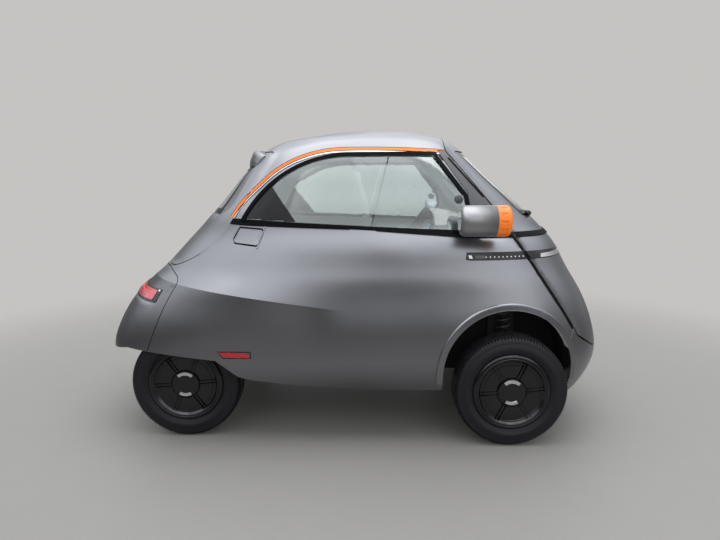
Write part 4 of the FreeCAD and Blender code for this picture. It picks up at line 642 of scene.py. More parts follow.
copyFinishes = {
    "tailgate_lip": "bodyPaint", "lamp_pods": "lightPaint", "lamp_pod_rings": "orangeTrim",
    "pillar_covers": "greyCover", "side_window_frames": "blackTrim", "belt_trim": "blackTrim",
    "door_belt_trim": "blackTrim", "windscreen": "screenGlass", "rear_window": "screenGlass",
    "side_windows": "windowGlass", "steering_wheel": "cabinPlastic", "side_light_strips": "glossBlack",
    "front_light_bar": "glossBlack", "tail_lamps": "bodyPaint", "side_reflectors": "redLens", "wiper": "blackTrim",
    "charge_socket": "blackTrim",
}
for name in panelSettings["lined"]:
    smoothCopy(name, "bodyPaint", lined=True, calm=True)
for name in panelSettings["unlined"]:
    smoothCopy(name, "bodyPaint", calm=True)
for name, finish in copyFinishes.items():
    smoothCopy(name, finish)
print("panels ready")


# Helpers for new pieces
def treeOf(*names):
    form = bmesh.new()
    for name in names:
        form.from_mesh(nodes[name].data)
    tree = BVHTree.FromBMesh(form)
    form.free()
    return tree


# Which faces of such a tree are this node's
def facesOf(name, *names):
    before = 0
    for other in names:
        if other == name:
            return range(before, before + len(nodes[name].data.polygons))
        before += len(nodes[other].data.polygons)


# Where a line across the car meets these surfaces from outside, on one side
def onSide(tree, x, z, side):
    return tree.ray_cast(Vector((x, side * 2, z)), Vector((0, -side, 0)))[:2]


# A profile of radius and offset, turned round an axis
def turnedForm(profile, steps, around="Y", closed=False, angle=2 * math.pi):
    form = bmesh.new()
    places = []
    for radius, offset in profile:
        place = {"X": (offset, 0, radius), "Y": (radius, offset, 0), "Z": (radius, 0, offset)}[around]
        places.append(form.verts.new(place))
    edges = [form.edges.new(pair) for pair in zip(places, places[1:])]
    if closed:
        edges.append(form.edges.new((places[-1], places[0])))
    bmesh.ops.spin(
        form, geom=places + edges, cent=(0, 0, 0), axis=[float(name == around) for name in "XYZ"], angle=angle,
        steps=steps, use_merge=angle >= 2 * math.pi - 0.001)
    bmesh.ops.remove_doubles(form, verts=form.verts, dist=0.00001)
    bmesh.ops.recalc_face_normals(form, faces=form.faces)
    return form


def closeHoles(form):
    bmesh.ops.holes_fill(form, edges=[edge for edge in form.edges if edge.is_boundary], sides=0)
    bmesh.ops.recalc_face_normals(form, faces=form.faces)


def addBlock(form, size, matrix, bevel, segments=2):
    made = bmesh.ops.create_cube(form, size=1.0)["verts"]
    bmesh.ops.scale(form, vec=size, verts=made)
    edges = list({edge for vertex in made for edge in vertex.link_edges})
    made = bmesh.ops.bevel(
        form, geom=edges, offset=bevel, affect="EDGES", segments=segments, profile=0.5, material=-1)["verts"]
    bmesh.ops.transform(form, matrix=matrix, verts=made)


def addRod(form, radius, length, matrix, segments):
    made = bmesh.ops.create_cone(
        form, cap_ends=True, segments=segments, radius1=radius, radius2=radius, depth=length)["verts"]
    bmesh.ops.transform(form, matrix=matrix, verts=made)


def mergeForm(target, source, matrix, materialIndex=0):
    mesh = bpy.data.meshes.new("scratch")
    bmesh.ops.transform(source, matrix=matrix, verts=source.verts)
    for face in source.faces:
        face.material_index = materialIndex
    source.to_mesh(mesh)
    target.from_mesh(mesh)
    bpy.data.meshes.remove(mesh)
    source.free()


def middleOf(name):
    low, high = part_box(name)
    return (low + high) / 2


# Wheels
tyreSettings = {
    "radius": 0.2665,
    "side": [  # radius and offset, from the bead out to the shoulder
        (0.1590, 0.0540), (0.1765, 0.0540), (0.1768, 0.0600), (0.1845, 0.0608), (0.1880, 0.0640), (0.1905, 0.0655),
        (0.1930, 0.0658), (0.1990, 0.0700), (0.2060, 0.0722), (0.2075, 0.0725), (0.2170, 0.0725), (0.2185, 0.0718),
        (0.2300, 0.0712), (0.2318, 0.0700), (0.2390, 0.0695), (0.2450, 0.0683), (0.2520, 0.0655), (0.2575, 0.0610),
        (0.2612, 0.0560), (0.2632, 0.0510), (0.2646, 0.0450),
    ],
    "columns": 216,
    "ribDepth": 0.0065,
    "grooveDepth": 0.006,
    "grooveColumns": 2,  # one column in so many is a groove
    "shoulder": (0.044, 0.0655),  # offsets between which the shoulder blocks stand
    "shoulderRadius": 0.2535,
    "ribColumns": 6,  # one column in so many is a nick in the ribs between them
    "ribHalf": 0.034,
    "ribRadius": 0.2648,
    "ribShift": 400,  # columns that the nicks move on by from rib to rib, for each metre across
    "nickDepth": 0.0042,
}
coverSettings = {
    "outer": 0.182,
    "step": 0.155,
    "inner": 0.149,
    "face": 0.071,
    "dish": 0.0585,
    "cap": 0.066,
    "capHeight": 0.010,
    "ribPairs": 6,
    "ribGap": 0.015,
    "rib": (0.0060, 0.0105),  # width and height
    "ribLean": 5,
    "arc": (0.0435, 0.0610),
    "arcAngles": ((50, 130), (240, 302)),
    "steps": 120,
    "arcSteps": 24,
}


def tyreProfile():
    r = tyreSettings["radius"]
    deep = r - tyreSettings["ribDepth"]
    half = tyreSettings["side"] + [
        (0.2650, 0.0400), (deep, 0.0390), (deep, 0.0330), (0.2657, 0.0320), (0.2663, 0.0160), (deep, 0.0150),
        (deep, 0.0090), (r, 0.0080),
    ]
    return half + [(radius, -offset) for radius, offset in reversed(half)]


# A tyre face's radius, its offset from the middle and its column round the tyre
def treadPlace(face):
    centre = face.calc_center_median()
    angle = math.degrees(math.atan2(centre.z, centre.x)) % 360
    return math.hypot(centre.x, centre.z), centre.y, int(angle / (360 / tyreSettings["columns"]))


def pressIntoTread(form, faces, depth):
    made = bmesh.ops.extrude_face_region(form, geom=faces)["geom"]
    for vertex in [item for item in made if isinstance(item, bmesh.types.BMVert)]:
        vertex.co -= Vector((vertex.co.x, 0, vertex.co.z)).normalized() * depth
    bmesh.ops.delete(form, geom=[face for face in faces if face.is_valid], context="FACES_ONLY")


def tyreForm():
    s = tyreSettings
    form = turnedForm(tyreProfile(), s["columns"], closed=True)
    low, high = s["shoulder"]
    grooves = []
    for face in form.faces:
        radius, offset, column = treadPlace(face)
        if radius >= s["shoulderRadius"] and low < abs(offset) < high:
            if column % s["grooveColumns"] == (0 if offset > 0 else 1):
                grooves.append(face)
    pressIntoTread(form, grooves, s["grooveDepth"])
    nicks = []
    for face in form.faces:
        radius, offset, column = treadPlace(face)
        if radius >= s["ribRadius"] and abs(offset) <= s["ribHalf"]:
            if (column + int(abs(offset) * s["ribShift"])) % s["ribColumns"] == 0:
                nicks.append(face)
    pressIntoTread(form, nicks, s["nickDepth"])
    bmesh.ops.recalc_face_normals(form, faces=form.faces)
    return form


def coverForm():
    s = coverSettings
    outer, step, inner, level, dish, cap = [s[name] for name in ("outer", "step", "inner", "face", "dish", "cap")]
    top = dish + s["capHeight"]
    arcIn, arcOut = s["arc"]
    form = turnedForm([
        (0.0, dish - 0.004), (0.152, dish - 0.004), (0.152, 0.0605), (outer - 0.0015, 0.0605), (outer, 0.0620),
        (outer - 0.0002, level - 0.0085), (outer - 0.0022, level - 0.0054), (outer - 0.0052, level - 0.0031),
        (outer - 0.0088, level - 0.0013), (outer - 0.0125, level - 0.0003), (0.1660, level),
        (0.1648, level - 0.0012), (0.1632, level - 0.0012), (0.1620, level), (step + 0.0015, level),
        (step, level - 0.0010), (inner + 0.0010, dish + 0.0030), (inner - 0.0020, dish + 0.0006), (0.1420, dish),
        (0.1405, dish - 0.0020), (0.1315, dish - 0.0020), (0.1300, dish), (cap + 0.0070, dish + 0.0016),
        (cap + 0.0050, dish + 0.0010), (cap + 0.0030, dish - 0.0030), (cap + 0.0006, dish - 0.0030),
        (cap, top - 0.0040), (cap - 0.0014, top - 0.0010), (cap - 0.0045, top), (arcOut + 0.0006, top),
        (arcOut, top - 0.0012), (arcIn, top - 0.0012), (arcIn - 0.0008, top), (0.0300, top + 0.0008),
        (0.0, top + 0.0012),
    ], s["steps"])
    width, height = s["rib"]
    length = inner - cap - 0.002
    for pair in range(s["ribPairs"]):
        turn = Matrix.Rotation(math.radians(360 * pair / s["ribPairs"] + s["ribLean"]), 4, "Y")
        for side in (-1, 1):
            place = (cap + 0.001 + length / 2, dish + height / 2 - 0.002, side * s["ribGap"] / 2)
            addBlock(form, (length, height, width), turn @ Matrix.Translation(place), 0.0018)
    for low, high in s["arcAngles"]:
        arc = turnedForm([
            (arcIn + 0.0006, top - 0.0010), (arcIn + 0.0016, top + 0.0006), (arcOut - 0.0016, top + 0.0006),
            (arcOut - 0.0006, top - 0.0010),
        ], s["arcSteps"], angle=math.radians(high - low))
        closeHoles(arc)
        mergeForm(form, arc, Matrix.Rotation(-math.radians(high), 4, "Y"), 1)
    return form


def addWheels():
    shapes = (
        ("tyre", tyreForm(), ["rubber"], "tyre", 38),
        ("wheel_cover", coverForm(), ["coverBlack", "satinMetal"], "cover_black", 30))
    for corner in ("front_left", "front_right", "rear_left", "rear_right"):
        outward = Matrix.Translation(middleOf("tyre_" + corner))
        if corner.endswith("right"):
            outward = outward @ Matrix.Rotation(math.pi, 4, "Z")
        for kind, shape, names, slotName, sharp in shapes:
            form = shape.copy()
            bmesh.ops.transform(form, matrix=outward, verts=form.verts)
            piece = finishPiece(kind + "_detail_" + corner, form, names, "wheel_" + corner, sharp)
            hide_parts(kind + "_" + corner)
    for kind, shape, names, slotName, sharp in shapes:
        shape.free()


addWheels()
print("wheels ready")


# Lines, seals and trim laid on the skin
stripePath = [
    (-0.6335, 1.0625), (-0.5830, 1.1315), (-0.5240, 1.1900), (-0.4060, 1.2885), (-0.2900, 1.3490), (-0.1500, 1.3850),
    (0.0090, 1.3920), (0.2000, 1.3900), (0.4260, 1.3820), (0.4600, 1.3795),
]
rearSeam = [
    (-1.060, 0.8150), (-0.985, 0.8150), (-0.965, 0.8135), (-0.905, 0.7850), (-0.888, 0.7720), (-0.882, 0.7550),
    (-0.886, 0.7350), (-0.900, 0.7000), (-1.012, 0.4113),
]
frontSeam = [(0.985, 0.4400), (0.987, 0.4700), (1.018, 0.5600), (1.040, 0.5950), (1.0705, 0.6304)]
trimSettings = {
    "carriers": {"upper_body": "root", "tailgate": "tailgate"},  # what the stripes run over, and its body
    "stripes": (  # from and to across the path's line, lift, thickness, finish and slot
        ("roof_stripe_bands", (-0.0062, 0.0062), 0.0030, 0.0022, "orangeTrim", "orange_trim"),
        ("roof_stripe_borders", (-0.0094, 0.0092), 0.0024, 0.0020, "blackTrim", "black_trim"),
        ("window_frame_lines", (-0.0148, -0.0098), 0.0030, 0.0022, "satinMetal", "machined")),
    "stripeSpan": (0.004, 0.998),  # shares of the path
    "stripeCells": (240, 8),
    "seals": (  # the surfaces, the top and foot of the door's rear edge, how far behind it, cells
        (("lower_body", "side_light_strips"), (0.7468, 0.985), (1.0253, 0.556), 0.0105, 120),
        (("pillar_covers", "upper_body"), (0.4430, 1.352), (0.6640, 1.105), 0.006, 80)),
    "sealWidth": 0.0085,
    "sealLaid": (0.0004, 0.0018),  # lift and thickness, as in the other pairs called laid
    "seams": (  # the surfaces, the path, half the width, cells, finish and slot
        ("bumper_seams", ("rear_bumper", "lower_body"), rearSeam, 0.0018, 140, "blackTrim", "black_trim"),
        # The front bumper's edge is a thin satin metal strip: a painted highlight along that seam, not a metal part
        ("front_bumper_edge_highlights", ("front_bumper", "lower_body"), frontSeam, 0.00108, 60, "satinMetal", "machined")),
    "seamLaid": (0.0003, 0.0012),
    "cornerX": -0.75,  # the upright axis that the tail lamps go round
}
lipSettings = {
    "centre": (0.702, 0.350),
    "radius": 0.308,
    "inset": 0.0015,
    "probe": 0.010,  # how far out of the arch the skin is looked for
    "angles": (-8, 188),
    "steps": 120,
    "jump": 0.06,  # skin that is further in or out than this isn't followed
    "profile": [  # out from the arch's edge, and up from the skin
        (0.0, -0.006), (0.0, 0.0002), (0.0010, 0.0006), (0.0050, 0.0013), (0.0150, 0.0037), (0.0235, 0.0060),
        (0.0262, 0.0060), (0.0285, 0.0045), (0.032, 0.0001), (0.032, -0.003)],
}
latchSettings = {
    "place": (0.4745, 1.1560),
    "radius": 0.0205,
    "grip": (0.007, 0.030, 0.010),
    "gripDepth": 0.012,
    "profile": [  # share of the radius, and offset
        (0.0, 0.0070), (0.55, 0.0070), (0.62, 0.0062), (0.86, 0.0062), (0.97, 0.0050), (1.0, 0.0030), (1.0, 0.0006)],
}
quarterSettings = {
    "corners": [(-0.600, 1.036), (-0.287, 1.036), (-0.424, 1.222), (-0.444, 1.226)],
    "cells": (60, 40),
    "laid": (0.0006, 0.0010),
}
screenSettings = {
    "borders": (  # each row: height, then the outer edge, the end of the paint and the end of the black
        ("windscreen_border", "windscreen", 1, "front_door",
         [(1.078, 0.4165, 0.385, 0.362), (1.130, 0.4265, 0.385, 0.362), (1.388, 0.3940, 0.352, 0.330)]),
        ("rear_window_border", "rear_window", -1, "tailgate",
         [(1.081, 0.3330, 0.290, 0.262), (1.130, 0.3405, 0.290, 0.262), (1.319, 0.3060, 0.262, 0.236)])),
    "sideCells": (8, 24),
    "sideLaid": (0.0004, 0.0014),
    "foot": 0.022,  # heights of the black at a screen's foot and top
    "top": 0.020,
    "crossCells": (60, 3),
    "crossLaid": (0.0005, 0.0014),
}


def pointOnPath(points, share):
    lengths = [(Vector(b) - Vector(a)).length for a, b in zip(points, points[1:])]
    left = share * sum(lengths)
    for index, length in enumerate(lengths):
        if left <= length or index == len(lengths) - 1:
            return index, min(left / length, 1.0)
        left -= length


# A smooth line through the points, and the direction square to it
def curvedPoint(points, share):
    index, t = pointOnPath(points, share)
    p = [Vector(points[max(0, min(len(points) - 1, index + k))]) for k in (-1, 0, 1, 2)]
    slopeA = (p[2] - p[0]) / 2
    slopeB = (p[3] - p[1]) / 2
    place = (
        p[1] * (2 * t ** 3 - 3 * t ** 2 + 1) + slopeA * (t ** 3 - 2 * t ** 2 + t)
        + p[2] * (-2 * t ** 3 + 3 * t ** 2) + slopeB * (t ** 3 - t ** 2))
    slope = (
        p[1] * (6 * t ** 2 - 6 * t) + slopeA * (3 * t ** 2 - 4 * t + 1)
        + p[2] * (-6 * t ** 2 + 6 * t) + slopeB * (3 * t ** 2 - 2 * t))
    slope.normalize()
    return place, Vector((-slope.y, slope.x))


# A thin piece laid on a surface: a grid whose points are sent onto it, then given its thickness
# It comes from the side (along Y), from an end (along X), or from all round the rear corner (turn)
def layOn(form, tree, mapping, cells, side, lift, thickness, materialIndex=0, along="Y", owner=None):
    sheet = bmesh.new()
    bmesh.ops.create_grid(sheet, x_segments=cells[0], y_segments=cells[1], size=0.5)
    missed = []
    for vertex in sheet.verts:
        first, second = mapping(vertex.co.x + 0.5, vertex.co.y + 0.5)
        if along == "Y":
            start, direction = Vector((first, side * 2, second)), Vector((0, -side, 0))
        elif along == "X":
            start, direction = Vector((side * 2, first, second)), Vector((-side, 0, 0))
        else:
            turn = math.radians(first)
            out = Vector((-math.cos(turn), side * math.sin(turn), 0))
            start, direction = Vector((trimSettings["cornerX"], 0, second)) + out * 2, -out
        place, facing, index = tree.ray_cast(start, direction)[:3]
        if place is None or (owner and index not in owner):
            missed.append(vertex)
        else:
            vertex.co = place + facing * lift
    bmesh.ops.delete(sheet, geom=missed, context="VERTS")
    if sheet.faces:
        bmesh.ops.solidify(sheet, geom=sheet.faces[:], thickness=thickness)
        bmesh.ops.recalc_face_normals(sheet, faces=sheet.faces)
        mergeForm(form, sheet, Matrix.Identity(4), materialIndex)


def betweenCorners(corners):
    def mapping(u, v):
        low = Vector(corners[0]).lerp(Vector(corners[1]), u)
        high = Vector(corners[3]).lerp(Vector(corners[2]), u)
        return low.lerp(high, v)
    return mapping


def alongPath(points, offsets, start=0.0, end=1.0):
    def mapping(u, v):
        place, across = curvedPoint(points, start + (end - start) * u)
        return place + across * (offsets[0] + (offsets[1] - offsets[0]) * v)
    return mapping


def addStripes():
    s = trimSettings
    tree = treeOf(*s["carriers"])
    for name, span, lift, thickness, finishName, slotName in s["stripes"]:
        for carrier, body in s["carriers"].items():
            form = bmesh.new()
            for side in (-1, 1):
                layOn(form, tree, alongPath(stripePath, span, *s["stripeSpan"]), s["stripeCells"], side, lift,
                      thickness, owner=facesOf(carrier, *s["carriers"]))
            if not form.faces:
                form.free()
                continue
            piece = finishPiece(name if body == "root" else name + "_rear", form, [finishName], body)
            if name == "roof_stripe_bands" and body == "root":
                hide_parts("roof_stripes")


def addSealsAndSeams():
    s = trimSettings
    form = bmesh.new()
    trees = [treeOf(*row[0]) for row in s["seals"]]
    for side in (-1, 1):
        for tree, (names, top, foot, shift, cells) in zip(trees, s["seals"]):
            layOn(form, tree, betweenCorners([
                (top[0] - shift - s["sealWidth"], top[1]), (top[0] - shift, top[1]), (foot[0] - shift, foot[1]),
                (foot[0] - shift - s["sealWidth"], foot[1])]), (1, cells), side, *s["sealLaid"])
    finishPiece("door_gap_seal", form, ["blackTrim"], "root")
    for name, names, path, half, cells, finishName, slotName in s["seams"]:
        form = bmesh.new()
        tree = treeOf(*names)
        for side in (-1, 1):
            layOn(form, tree, alongPath(path, (-half, half)), (cells, 1), side, *s["seamLaid"])
        finishPiece(name, form, [finishName], "root")


# The rolled edge of a front wheel arch
def addArchLips():
    s = lipSettings
    form = bmesh.new()
    tree = treeOf("lower_body", "front_bumper", "side_reflectors")
    first, last = s["angles"]
    for side in (-1, 1):
        rows = []
        for step in range(s["steps"] + 1):
            angle = math.radians(first + (last - first) * step / s["steps"])
            out = Vector((math.cos(angle), math.sin(angle)))
            x, z = Vector(s["centre"]) + out * (s["radius"] + s["probe"])
            skin = onSide(tree, x, z, side)[0]
            if skin is None:
                continue
            row = []
            for reach, rise in s["profile"]:
                x, z = Vector(s["centre"]) + out * (s["radius"] + s["inset"] + reach)
                ground = onSide(tree, x, z, side)[0]
                if ground is None or abs(ground.y - skin.y) > s["jump"]:
                    ground = skin
                row.append(form.verts.new((x, ground.y + side * rise, z)))
            rows.append(row)
        for pair in zip(rows, rows[1:]):
            edges = [form.edges.get(ends) or form.edges.new(ends) for row in pair for ends in zip(row, row[1:])]
            bmesh.ops.bridge_loops(form, edges=edges)
    bmesh.ops.recalc_face_normals(form, faces=form.faces)
    finishPiece("arch_lips", form, ["bodyPaint"], "root", 50)


# The dark rear corner of the side glass
def addQuarterTrim():
    s = quarterSettings
    glass = treeOf("side_windows")
    form = bmesh.new()
    for side in (-1, 1):
        layOn(form, glass, betweenCorners(s["corners"]), s["cells"], side, *s["laid"])
    finishPiece("quarter_trim", form, ["glossBlack"], "root")


def addLatchKnobs():
    s = latchSettings
    form = bmesh.new()
    glass = treeOf("side_windows")
    for side in (-1, 1):
        place, facing = onSide(glass, *s["place"], side)
        lie = Matrix.Translation(place) @ facing.to_track_quat("Z", "X").to_matrix().to_4x4()
        knob = turnedForm([(share * s["radius"], offset) for share, offset in s["profile"]], 40, "Z")
        closeHoles(knob)
        mergeForm(form, knob, lie)
        grip = bmesh.new()
        addBlock(grip, s["grip"], Matrix.Translation((0, 0, -s["gripDepth"])), 0.0025, 3)
        mergeForm(form, grip, lie)
    finishPiece("window_latches", form, ["cabinPlastic"], "root", 35)


# Painted edges and a black border on the two screens, so that their glass ends well inside the pillars
def addScreenBorders():
    s = screenSettings
    foot, top = s["foot"], s["top"]
    for name, node, side, body, rows in s["borders"]:
        form = bmesh.new()
        tree = treeOf(node)
        for hand in (-1, 1):
            for index in (0, 1):
                outer, inner = index + 1, index + 2
                for low, high in zip(rows, rows[1:]):
                    layOn(form, tree, betweenCorners([
                        (hand * low[inner], low[0]), (hand * low[outer], low[0]), (hand * high[outer], high[0]),
                        (hand * high[inner], high[0])]), s["sideCells"], side, *s["sideLaid"], index, along="X")
        for level, height, width in ((rows[0][0], foot, rows[0][2]), (rows[-1][0] - top, top, rows[-1][2])):
            layOn(form, tree, betweenCorners([
                (-width, level), (width, level), (width, level + height), (-width, level + height)]), s["crossCells"],
                side, *s["crossLaid"], 1, along="X")
        finishPiece(name, form, ["bodyPaint", "glossBlack"], body, 40)


addStripes()
addSealsAndSeams()
addScreenBorders()
addArchLips()
addQuarterTrim()
addLatchKnobs()
print("trim ready")


# Lamps
stripSettings = {
    "dotRadius": 0.0036,
    "dotFlat": 0.5,  # thickness as a share of width
    "dotCount": 10,
    "dotFrom": 0.590,
    "dotTo": 0.772,
    "dotHeight": 0.8950,
    "light": [(0.512, 0.889), (0.528, 0.889), (0.522, 0.9035), (0.508, 0.9035)],
    "plate": [(0.540, 0.8895), (0.583, 0.8895), (0.583, 0.9030), (0.540, 0.9030)],
    "laid": (0.0006, 0.0016),
    "barPlate": [(0.868, 0.8850), (1.040, 0.8850), (1.046, 0.9070), (0.872, 0.9015)],
    "barLaid": (0.0008, 0.0018),
    "barCount": 22,
    "barHalf": 0.40,
    "barHeight": 0.899,
}
tailLampSettings = {
    "layers": (  # corners as degrees round the car's rear corner and height, then cells, lift, thickness and finish
        ([(39.5, 0.6900), (68.6, 0.6670), (68.6, 0.7200), (39.5, 0.7370)], (50, 10), 0.0025, 0.0040, 0),
        ([(41.0, 0.6960), (66.0, 0.6750), (66.0, 0.7130), (41.0, 0.7310)], (46, 8), 0.0045, 0.0024, 1),
        ([(41.8, 0.7160), (64.2, 0.6980), (64.0, 0.7020), (41.8, 0.7205)], (40, 2), 0.0060, 0.0014, 3),
        # The last layer, a small satin metal patch near the lens's end, is a painted highlight
        ([(66.8, 0.7105), (68.0, 0.7100), (67.8, 0.7160), (66.6, 0.7165)], (3, 2), 0.0050, 0.0012, 2)),
}
reflectorSettings = {
    "edge": 0.0035,
    "laid": (0.0010, 0.0022),
    "lean": 0.8,  # how far the foot's rear corner is moved forward, in heights
}
headlampSettings = {
    "place": (0.6665, 1.064),
    "parts": (  # radius and offset, steps, whether the profile is closed, and finish
        ([(0.0, 0.6175), (0.0568, 0.6175), (0.0568, 0.6660), (0.0550, 0.6660), (0.0530, 0.6560), (0.0470, 0.6400),
          (0.0380, 0.6300), (0.0330, 0.6280), (0.0, 0.6280)], 64, False, 0),
        ([(0.0475, 0.6480), (0.0487, 0.6505), (0.0499, 0.6480), (0.0487, 0.6460)], 64, True, 3),
        ([(0.0515, 0.6532), (0.0527, 0.6557), (0.0539, 0.6532), (0.0527, 0.6512)], 64, True, 3),
        ([(0.0, 0.6570), (0.0100, 0.6556), (0.0190, 0.6512), (0.0250, 0.6445), (0.0268, 0.6400), (0.0268, 0.6300),
          (0.0, 0.6300)], 48, False, 1),
        ([(0.0272, 0.6285), (0.0318, 0.6285), (0.0318, 0.6430), (0.0300, 0.6455), (0.0278, 0.6440),
          (0.0272, 0.6410)], 48, True, 2),
        ([(0.0, 0.6694), (0.0300, 0.6686), (0.0500, 0.6668), (0.0566, 0.6655), (0.0566, 0.6640), (0.0500, 0.6650),
          (0.0300, 0.6668), (0.0, 0.6676)], 64, False, 1)),
}


def addDot(form, place, facing, materialIndex):
    made = bmesh.ops.create_icosphere(form, subdivisions=2, radius=stripSettings["dotRadius"])["verts"]
    bmesh.ops.scale(form, vec=(1, 1, stripSettings["dotFlat"]), verts=made)
    turn = facing.to_track_quat("Z", "Y").to_matrix().to_4x4()
    bmesh.ops.transform(form, matrix=Matrix.Translation(place) @ turn, verts=made)
    for face in {face for vertex in made for face in vertex.link_faces}:
        face.material_index = materialIndex


def addStripLamps():
    s = stripSettings
    strips = treeOf("side_light_strips")
    form = bmesh.new()
    for side in (-1, 1):
        for index in range(s["dotCount"]):
            x = s["dotFrom"] + (s["dotTo"] - s["dotFrom"]) * index / (s["dotCount"] - 1)
            place, facing = onSide(strips, x, s["dotHeight"], side)
            if place is not None:
                addDot(form, place, facing, 0)
        layOn(form, strips, betweenCorners(s["light"]), (4, 4), side, *s["laid"], 0)
        layOn(form, strips, betweenCorners(s["plate"]), (10, 3), side, *s["laid"], 1)
    finishPiece("side_strip_lamps", form, ["lampGlow", "greyCover"], "root", 40)
    bar = treeOf("front_light_bar")
    form = bmesh.new()
    for side in (-1, 1):
        layOn(form, bar, betweenCorners(s["barPlate"]), (28, 5), side, *s["barLaid"], 0)
    for index in range(s["barCount"]):
        y = -s["barHalf"] + 2 * s["barHalf"] * index / (s["barCount"] - 1)
        hit = bar.ray_cast(Vector((2, y, s["barHeight"])), Vector((-1, 0, 0)))
        if hit[0] is not None:
            addDot(form, *hit[:2], 1)
    finishPiece("front_bar_lamps", form, ["satinMetal", "lampGlow"], "front_door", 40)


def addTailLamps():
    carrier = treeOf("rear_bumper", "tail_lamps", "lower_body")
    form = bmesh.new()
    for side in (-1, 1):
        for corners, cells, lift, thickness, index in tailLampSettings["layers"]:
            layOn(form, carrier, betweenCorners(corners), cells, side, lift, thickness, index, along="turn")
    finishPiece("tail_lamp_lights", form, ["glossBlack", "redLens", "satinMetal", "tailGlow"], "root", 40)


# A dark edge round each side reflector
def addReflectorEdges():
    s = reflectorSettings
    low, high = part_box("side_reflectors")
    carrier = treeOf("lower_body", "side_reflectors")
    form = bmesh.new()
    w = s["edge"]
    foot = low.x + (high.z - low.z) * s["lean"]
    for side in (-1, 1):
        for corners, cells in (
                ([(low.x, high.z - w), (high.x, high.z - w), (high.x, high.z), (low.x, high.z)], (40, 1)),
                ([(foot, low.z), (high.x, low.z), (high.x, low.z + w), (foot, low.z + w)], (40, 1)),
                ([(foot, low.z), (foot + w, low.z), (low.x + w, high.z), (low.x, high.z)], (1, 8)),
                ([(high.x - w, low.z), (high.x, low.z), (high.x, high.z), (high.x - w, high.z)], (1, 8))):
            layOn(form, carrier, betweenCorners(corners), cells, side, *s["laid"])
    finishPiece("reflector_edges", form, ["blackTrim"], "root", 40)


# The front lamp in each pod: a bright bowl with two lit rings, a projector in its collar, and a thin clear cover
def addHeadlamps():
    form = bmesh.new()
    y, z = headlampSettings["place"]
    for side in (-1, 1):
        for profile, steps, closed, index in headlampSettings["parts"]:
            mergeForm(form, turnedForm(profile, steps, "X", closed), Matrix.Translation((0, side * y, z)), index)
    piece = finishPiece(
        "headlamp_units", form, ["satinMetal", "lampLens", "glossBlack", "lampGlow"], "root", 40)
    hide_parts("headlamp_lenses")


addStripLamps()
addTailLamps()
addReflectorEdges()
addHeadlamps()
print("lamps ready")


# Seats
seatSettings = {
    "voxel": 0.009,
    "pressure": 4.0,
    "frames": 20,
    "shrink": 0.012,
    "cap": 0.014,  # how far the pressure may move a point
    "cushionChannels": (-0.34, -0.17, 0.0, 0.17, 0.34),
    "backChannels": (-0.26, -0.13, 0.0, 0.13, 0.26),
    "channelDepth": 0.009,
    "channelWidth": 0.011,
    "crossDepth": 0.8,  # share of that depth for the channel across, and for the one under the piping
    "underDepth": 0.4,
    "cushionCross": 0.075,  # behind the cushion's front
    "backCross": 0.13,  # under the backrest's top
    "pipingRise": 0.0035,
    "pipingWidth": 0.006,
    "cushionPiping": 0.052,  # under the cushion's top, with its channel
    "cushionUnder": 0.060,
    "backPiping": 0.115,  # ahead of the backrest's rear foot
    "backLean": 16,
}


def bakedMesh(piece):
    graph = bpy.context.evaluated_depsgraph_get()
    return bpy.data.meshes.new_from_object(piece.evaluated_get(graph))


# A node's plain block, made smaller, remeshed, blown up by Cloth pressure and made smooth
def padOf(nodeName):
    s = seatSettings
    form = bmesh.new()
    form.from_mesh(nodes[nodeName].data)
    bmesh.ops.remove_doubles(form, verts=form.verts, dist=0.00005)
    low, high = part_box(nodeName)
    centre = (low + high) / 2
    size = high - low
    bmesh.ops.scale(
        form, vec=[1 - s["shrink"] * 2 / length for length in size], space=Matrix.Translation(-centre),
        verts=form.verts)
    mesh = bpy.data.meshes.new(nodeName + "_start")
    form.to_mesh(mesh)
    form.free()
    pad = bpy.data.objects.new(nodeName + "_start", mesh)
    scene.collection.objects.link(pad)
    remesh = pad.modifiers.new("voxels", "REMESH")
    remesh.mode = "VOXEL"
    remesh.voxel_size = s["voxel"]
    pad.data = bakedMesh(pad)
    pad.modifiers.clear()
    cloth = pad.modifiers.new("pressure", "CLOTH")
    cloth.settings.use_pressure = True
    cloth.settings.uniform_pressure_force = s["pressure"]
    cloth.settings.effector_weights.gravity = 0
    for step in range(1, s["frames"] + 1):
        scene.frame_set(step)
    swollen = bakedMesh(pad)
    for vertex, moved in zip(pad.data.vertices, swollen.vertices):
        travel = moved.co - vertex.co
        if travel.length > s["cap"]:
            travel = travel.normalized() * s["cap"]
        vertex.co += travel
    pad.modifiers.clear()
    scene.frame_set(1)
    smooth = pad.modifiers.new("smooth", "SUBSURF")
    smooth.levels = 1
    smooth.render_levels = 1
    mesh = bakedMesh(pad)
    bpy.data.objects.remove(pad)
    form = bmesh.new()
    form.from_mesh(mesh)
    return form, low, high


def pressIn(distance, width):
    return math.exp(-(distance / width) ** 2)


def addCushion():
    s = seatSettings
    form, low, high = padOf("seat_cushion")
    form.normal_update()
    for vertex in form.verts:
        up = max(0.0, vertex.normal.z)
        ahead = max(0.0, vertex.normal.x)
        depth = 0.0
        for place in s["cushionChannels"]:
            depth += pressIn(vertex.co.y - place, s["channelWidth"]) * max(up, ahead) ** 0.5
        depth += s["crossDepth"] * pressIn(vertex.co.x - (high.x - s["cushionCross"]), s["channelWidth"]) * up
        depth += s["underDepth"] * pressIn(vertex.co.z - (high.z - s["cushionUnder"]), s["pipingWidth"]) * (1 - up)
        piping = pressIn(vertex.co.z - (high.z - s["cushionPiping"]), s["pipingWidth"]) * (1 - up)
        vertex.co -= vertex.normal * (depth * s["channelDepth"] - piping * s["pipingRise"])
    piece = finishPiece("seat_cushion_pad", form, ["seatCloth"], "root", 180)
    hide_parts("seat_cushion")


